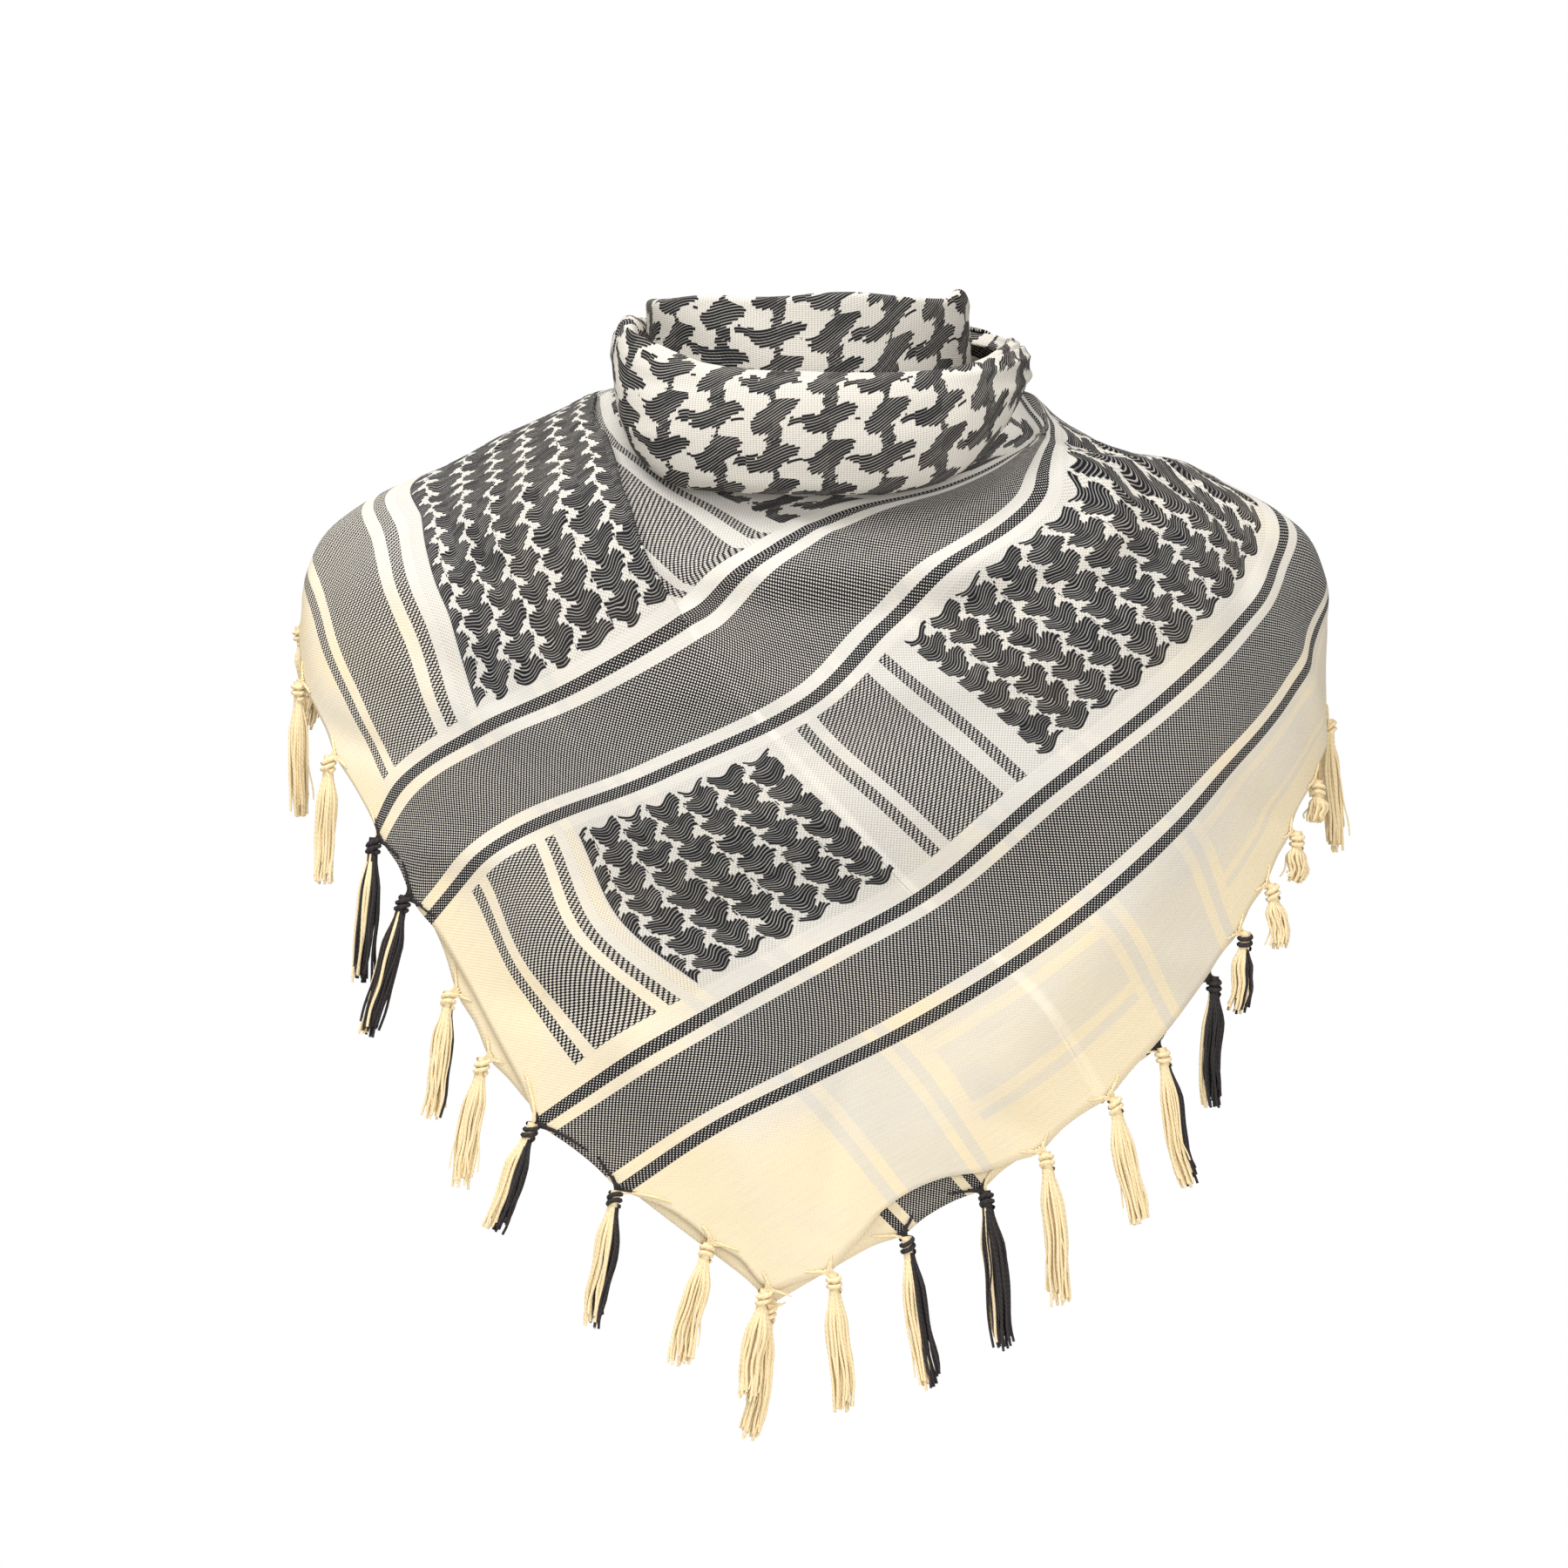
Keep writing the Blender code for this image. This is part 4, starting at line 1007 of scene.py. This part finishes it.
def tassel_piece(name, spans, seed):
    """One object from the tassels in spans, which are rows of the tassel table."""
    points = []
    faces = []
    uvs = []
    which = []
    start = 0
    for number, (layer, hem, distance, across, down, black, gather) in enumerate(spans):
        dice = np.random.default_rng(seed + number)
        hanging, stray, knot, core, links, starts = tassel_paths(
            layer, hem, distance, across, down, gather, dice
        )
        order = np.argsort(hanging[:, 3] @ np.array([1.0, 0.4, 0.0]) + dice.normal(0, 1.6, HANGING))
        is_black = np.empty(HANGING, bool)
        is_black[order] = (np.arange(HANGING) + 0.5) / HANGING > 1 - black
        banded = (layer == "upper") == (hem == "left")
        bands = np.array(THIN_ACROSS + WIDE_ACROSS)
        in_band = (starts[:, None] > bands[:, 0] - 3) & (starts[:, None] < bands[:, 1] + 3)
        thin = np.where(stray, STRAY_YARN, YARN)[:, None]
        batches = [
            (hanging, thin * np.linspace(1, 0.75, YARN_STEPS), is_black),
            (knot[None], np.full((1, KNOT_STEPS), KNOT_YARN), np.array([black > 0.4])),
            (core[None], np.full((1, YARN_STEPS), CORE), np.array([black > 0.6])),
            (links, np.full(links.shape[:2], GATHERED_YARN), in_band.any(axis=1) & banded),
        ]
        for batch_paths, batch_radius, batch_black in batches:
            new_points, quads, uv, strand = strand_arrays(batch_paths, batch_radius)
            points.append(new_points)
            faces.append(quads + start)
            uvs.append(uv)
            which.append(batch_black[strand])
            start += len(new_points)
    return object_from(name, np.concatenate(points), np.concatenate(faces), np.concatenate(uvs),
                       [CREAM_YARN_FINISH, BLACK_YARN_FINISH], np.concatenate(which))


# Camera level with the chest, and soft square lights: name, place, turn, width and power.
camera = bpy.data.cameras.new("camera")
camera.sensor_width = 36.0
camera.lens = 200.0
camera_object = bpy.data.objects.new("camera", camera)
camera_object.location = (-0.014, -4.06, -0.172)
camera_object.rotation_euler = (np.pi / 2, 0.0, 0.0)
bpy.context.scene.collection.objects.link(camera_object)
bpy.context.scene.camera = camera_object

LIGHTS = [
    ("overhead", (-0.6, -0.75, 1.7), (0.42, -0.33, 0.0), 1.3, 48.0),
    ("front_fill", (1.1, -3.1, 0.5), (1.42, 0.0, 0.33), 2.0, 38.0),
    ("back_fill", (0.4, 2.6, 1.4), (-1.1, 0.0, 0.0), 2.2, 12.0),
]
for light_name, place, turned, width, power in LIGHTS:
    light = bpy.data.lights.new(light_name, "AREA")
    light.size = width
    light.energy = power
    light_object = bpy.data.objects.new(light_name, light)
    light_object.location = place
    light_object.rotation_euler = turned
    bpy.context.scene.collection.objects.link(light_object)

world = bpy.data.worlds.new("studio")
world.use_nodes = True
bpy.context.scene.world = world
sky = world.node_tree.nodes["Background"]
sky.inputs["Color"].default_value = (1.0, 1.0, 1.0, 1.0)
# The paper behind is white to the camera, and its light on the cloth is held back for soft shadows.
seen = world.node_tree.nodes.new("ShaderNodeLightPath").outputs["Is Camera Ray"]
SKY_ON_CLOTH = 0.6
strength = add_node(world.node_tree, "ADD", [("MULTIPLY", seen, 1 - SKY_ON_CLOTH), SKY_ON_CLOTH])
world.node_tree.links.new(strength, sky.inputs["Strength"])
bpy.context.scene.view_settings.view_transform = "Standard"

IVORY = "DAD4C9"
CREAM = "EEDDBB"
# The grey of the painted show-through shade of the layer behind.
SHOW_THROUGH_SHADE_GREY = "CFCCC6"
BLACK_YARN = "18191D"
# The brownish colour of the black yarn's painted sheen.
BLACK_YARN_SHEEN = "302925"
PATTERN = pattern_group()
# The two layers get the painted show-through shade at half strength, and the wound pieces get none.
COTTON = woven_cotton("checked_cotton_plain_weave", 0.5)
COTTON_WOUND = woven_cotton("checked_cotton_wound_double", 0.0)
# Each yarn's two colours are its painted light on the plies and its painted shade in the groove.
CREAM_YARN_FINISH = yarn_cotton("cream_cotton_yarn_two_ply", "F3DFB6", "D2BA8C")
BLACK_YARN_FINISH = yarn_cotton("black_cotton_yarn_two_ply", "3F3B3B", "1B191A")


def pleated_upper_layer():
    """The upper layer with the pleat folded in: columns run to the pleat, back under it and on again.

    Its height falls to 0.45 of the top round the bend, to 0.35 going back and to nothing going on.
    """
    to_fold, under_fold, past_fold = 74, 12, 125
    v = np.linspace(0, LAST_LINE, 168)[:, None]
    reach = CLOTH_REACH - v
    width = np.interp(v, *np.transpose(PLEAT_HIDES)) / 2
    edge = np.minimum(PLEAT_AT, 0.75 * reach)
    open_fold = np.clip(width / PLEAT_OPENS, 0, 1)
    bend = PLEAT_BEND * open_fold
    before = edge * np.linspace(0, 1, to_fold)
    turn = np.radians(np.array([45.0, 90.0, 135.0, 180.0]))
    back = np.linspace(0, 1, under_fold + 1)[1:]
    beyond = (reach - edge) * np.linspace(0, 1, past_fold + 1)[1:]
    flat_u = np.concatenate([before, edge + bend * np.sin(turn), edge - width * back,
                             edge - width * (1 - back), edge + beyond], axis=1)
    true_u = np.concatenate([
        before, edge + bend * turn / np.pi, edge + width * back, edge + width * (1 + back),
        edge + 2 * width + beyond], axis=1)
    flat_u, v_all = drawn_in("upper", flat_u, v * np.ones_like(flat_u))
    inwards = np.clip(flat_u / SLIP_GROWS, 0, 1)
    true_u = true_u - (table_at(v, SLIP)[..., 0] + SLIP_RISE * (flat_u - SLIP_FROM)) * inwards
    places = cloth_place(flat_u / (CLOTH_REACH - v_all), v_all)
    base = on_body(places[..., 0], places[..., 1])
    normal = outward(places[..., 0], places[..., 1])
    ridges = ridge_height(base, RIDGES + CREASES)
    swell, plain = pleat_height(base)
    top = swell[:, to_fold - 1:to_fold] * PLEAT_PROUD
    rising = 1 + (PLEAT_PROUD - 1) * np.linspace(0, 1, to_fold) ** 8
    lift = np.concatenate([
        swell[:, :to_fold] * rising * open_fold + plain[:, :to_fold] * (1 - open_fold),
        top * (1 - 0.55 * (1 - np.cos(turn)) / 2), top * (0.45 - 0.10 * back),
        top * (0.35 - 0.35 * back), plain[:, -past_fold:] * (1 - open_fold)], axis=1)
    lift = plain * (1 - open_fold) + lift * open_fold
    points = base + normal * (ridges + lift)[..., None]
    return points, np.stack([true_u, v_all], axis=-1)


def lower_layer_grid():
    """The lower layer as a plain grid; folded over, its own hems trade places, so u and v swap."""
    v = np.linspace(0, LAST_LINE, 130)[:, None]
    u = (CLOTH_REACH - v) * np.linspace(0, 1, 170)
    u, v = drawn_in("lower", u, v * np.ones_like(u))
    return lower_layer(u, v), np.stack([v, u], axis=-1)


bib_points, bib_weave = pleated_upper_layer()
bib = woven_piece("upper_layer_cloth", bib_points, bib_weave, COTTON)
under_points, under_weave = lower_layer_grid()
under = woven_piece("lower_layer_cloth", under_points, under_weave, COTTON)

angles, turned = np.meshgrid(
    np.linspace(-180, 180, 300, endpoint=False), np.linspace(*ROLL_TURNED, 48)
)
ring_points = roll_points(angles, turned, roll_proud(angles, turned))
ring = woven_piece("neck_roll_cloth", ring_points,
                   starry_threads(ring_points, u_start=320, v_start=760), COTTON_WOUND, True)

collar_angles = np.linspace(-180, 180, 240, endpoint=False)
collar_grid_points = collar_points(collar_angles)
collar = woven_piece("inner_collar_cloth", collar_grid_points,
                     starry_threads(collar_grid_points, u_start=330, v_start=760), COTTON_WOUND, True)

nape_angles, nape_turned = np.meshgrid(np.linspace(*NAPE, 90), np.linspace(*NAPE_TURNED, 30))
nape_angles = np.where(nape_angles > 180, nape_angles - 360, nape_angles)
nape_points = roll_points(nape_angles, nape_turned, np.full(nape_angles.shape, 0.5 + CAD_WALL))
nape = woven_piece("nape_band_cloth", nape_points,
                   straight_threads(nape_points, slant_deg=6, u_start=20, v_start=60), COTTON_WOUND)

for index, span in enumerate(TASSELS):
    hung = tassel_piece("tassel_yarns_%02d" % index, [span], 40 + index)
    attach(hung, "root")
    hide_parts("tassel_%02d" % index)
for fringe_name, (hem, distances) in BACK_FRINGE.items():
    spans = [("upper", hem, distance, 0, -56 + 2 * (index % 3 - 1), 0.0, 9)
             for index, distance in enumerate(distances)]
    hung = tassel_piece(fringe_name + "_yarns", spans, 90 + len(fringe_name))
    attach(hung, "root")
    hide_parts(fringe_name)

for piece, node in ((bib, "bib_outer"), (under, "bib_inner"), (ring, "neck_roll"),
                    (collar, "collar_inner"), (nape, "nape_band")):
    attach(piece, "root")
    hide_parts(node)

# The floor is a disc, in metres.
FLOOR_RADIUS = 0.9
FLOOR_HEIGHT = -0.62
floor_mesh = bpy.data.meshes.new("floor")
turn = np.linspace(0, 2 * np.pi, 96, endpoint=False)
rim = np.stack([FLOOR_RADIUS * np.cos(turn), FLOOR_RADIUS * np.sin(turn),
                np.full(turn.shape, FLOOR_HEIGHT)], axis=-1)
floor_mesh.from_pydata(rim.tolist(), [], [list(range(len(turn)))])
floor = bpy.data.objects.new("floor", floor_mesh)
bpy.context.scene.collection.objects.link(floor)
floor_material, _, floor_shader = new_material("pale_matt_floor")
floor_shader.inputs["Base Color"].default_value = srgb("F2F1EE")
floor_shader.inputs["Roughness"].default_value = 0.9
floor_mesh.materials.append(floor_material)
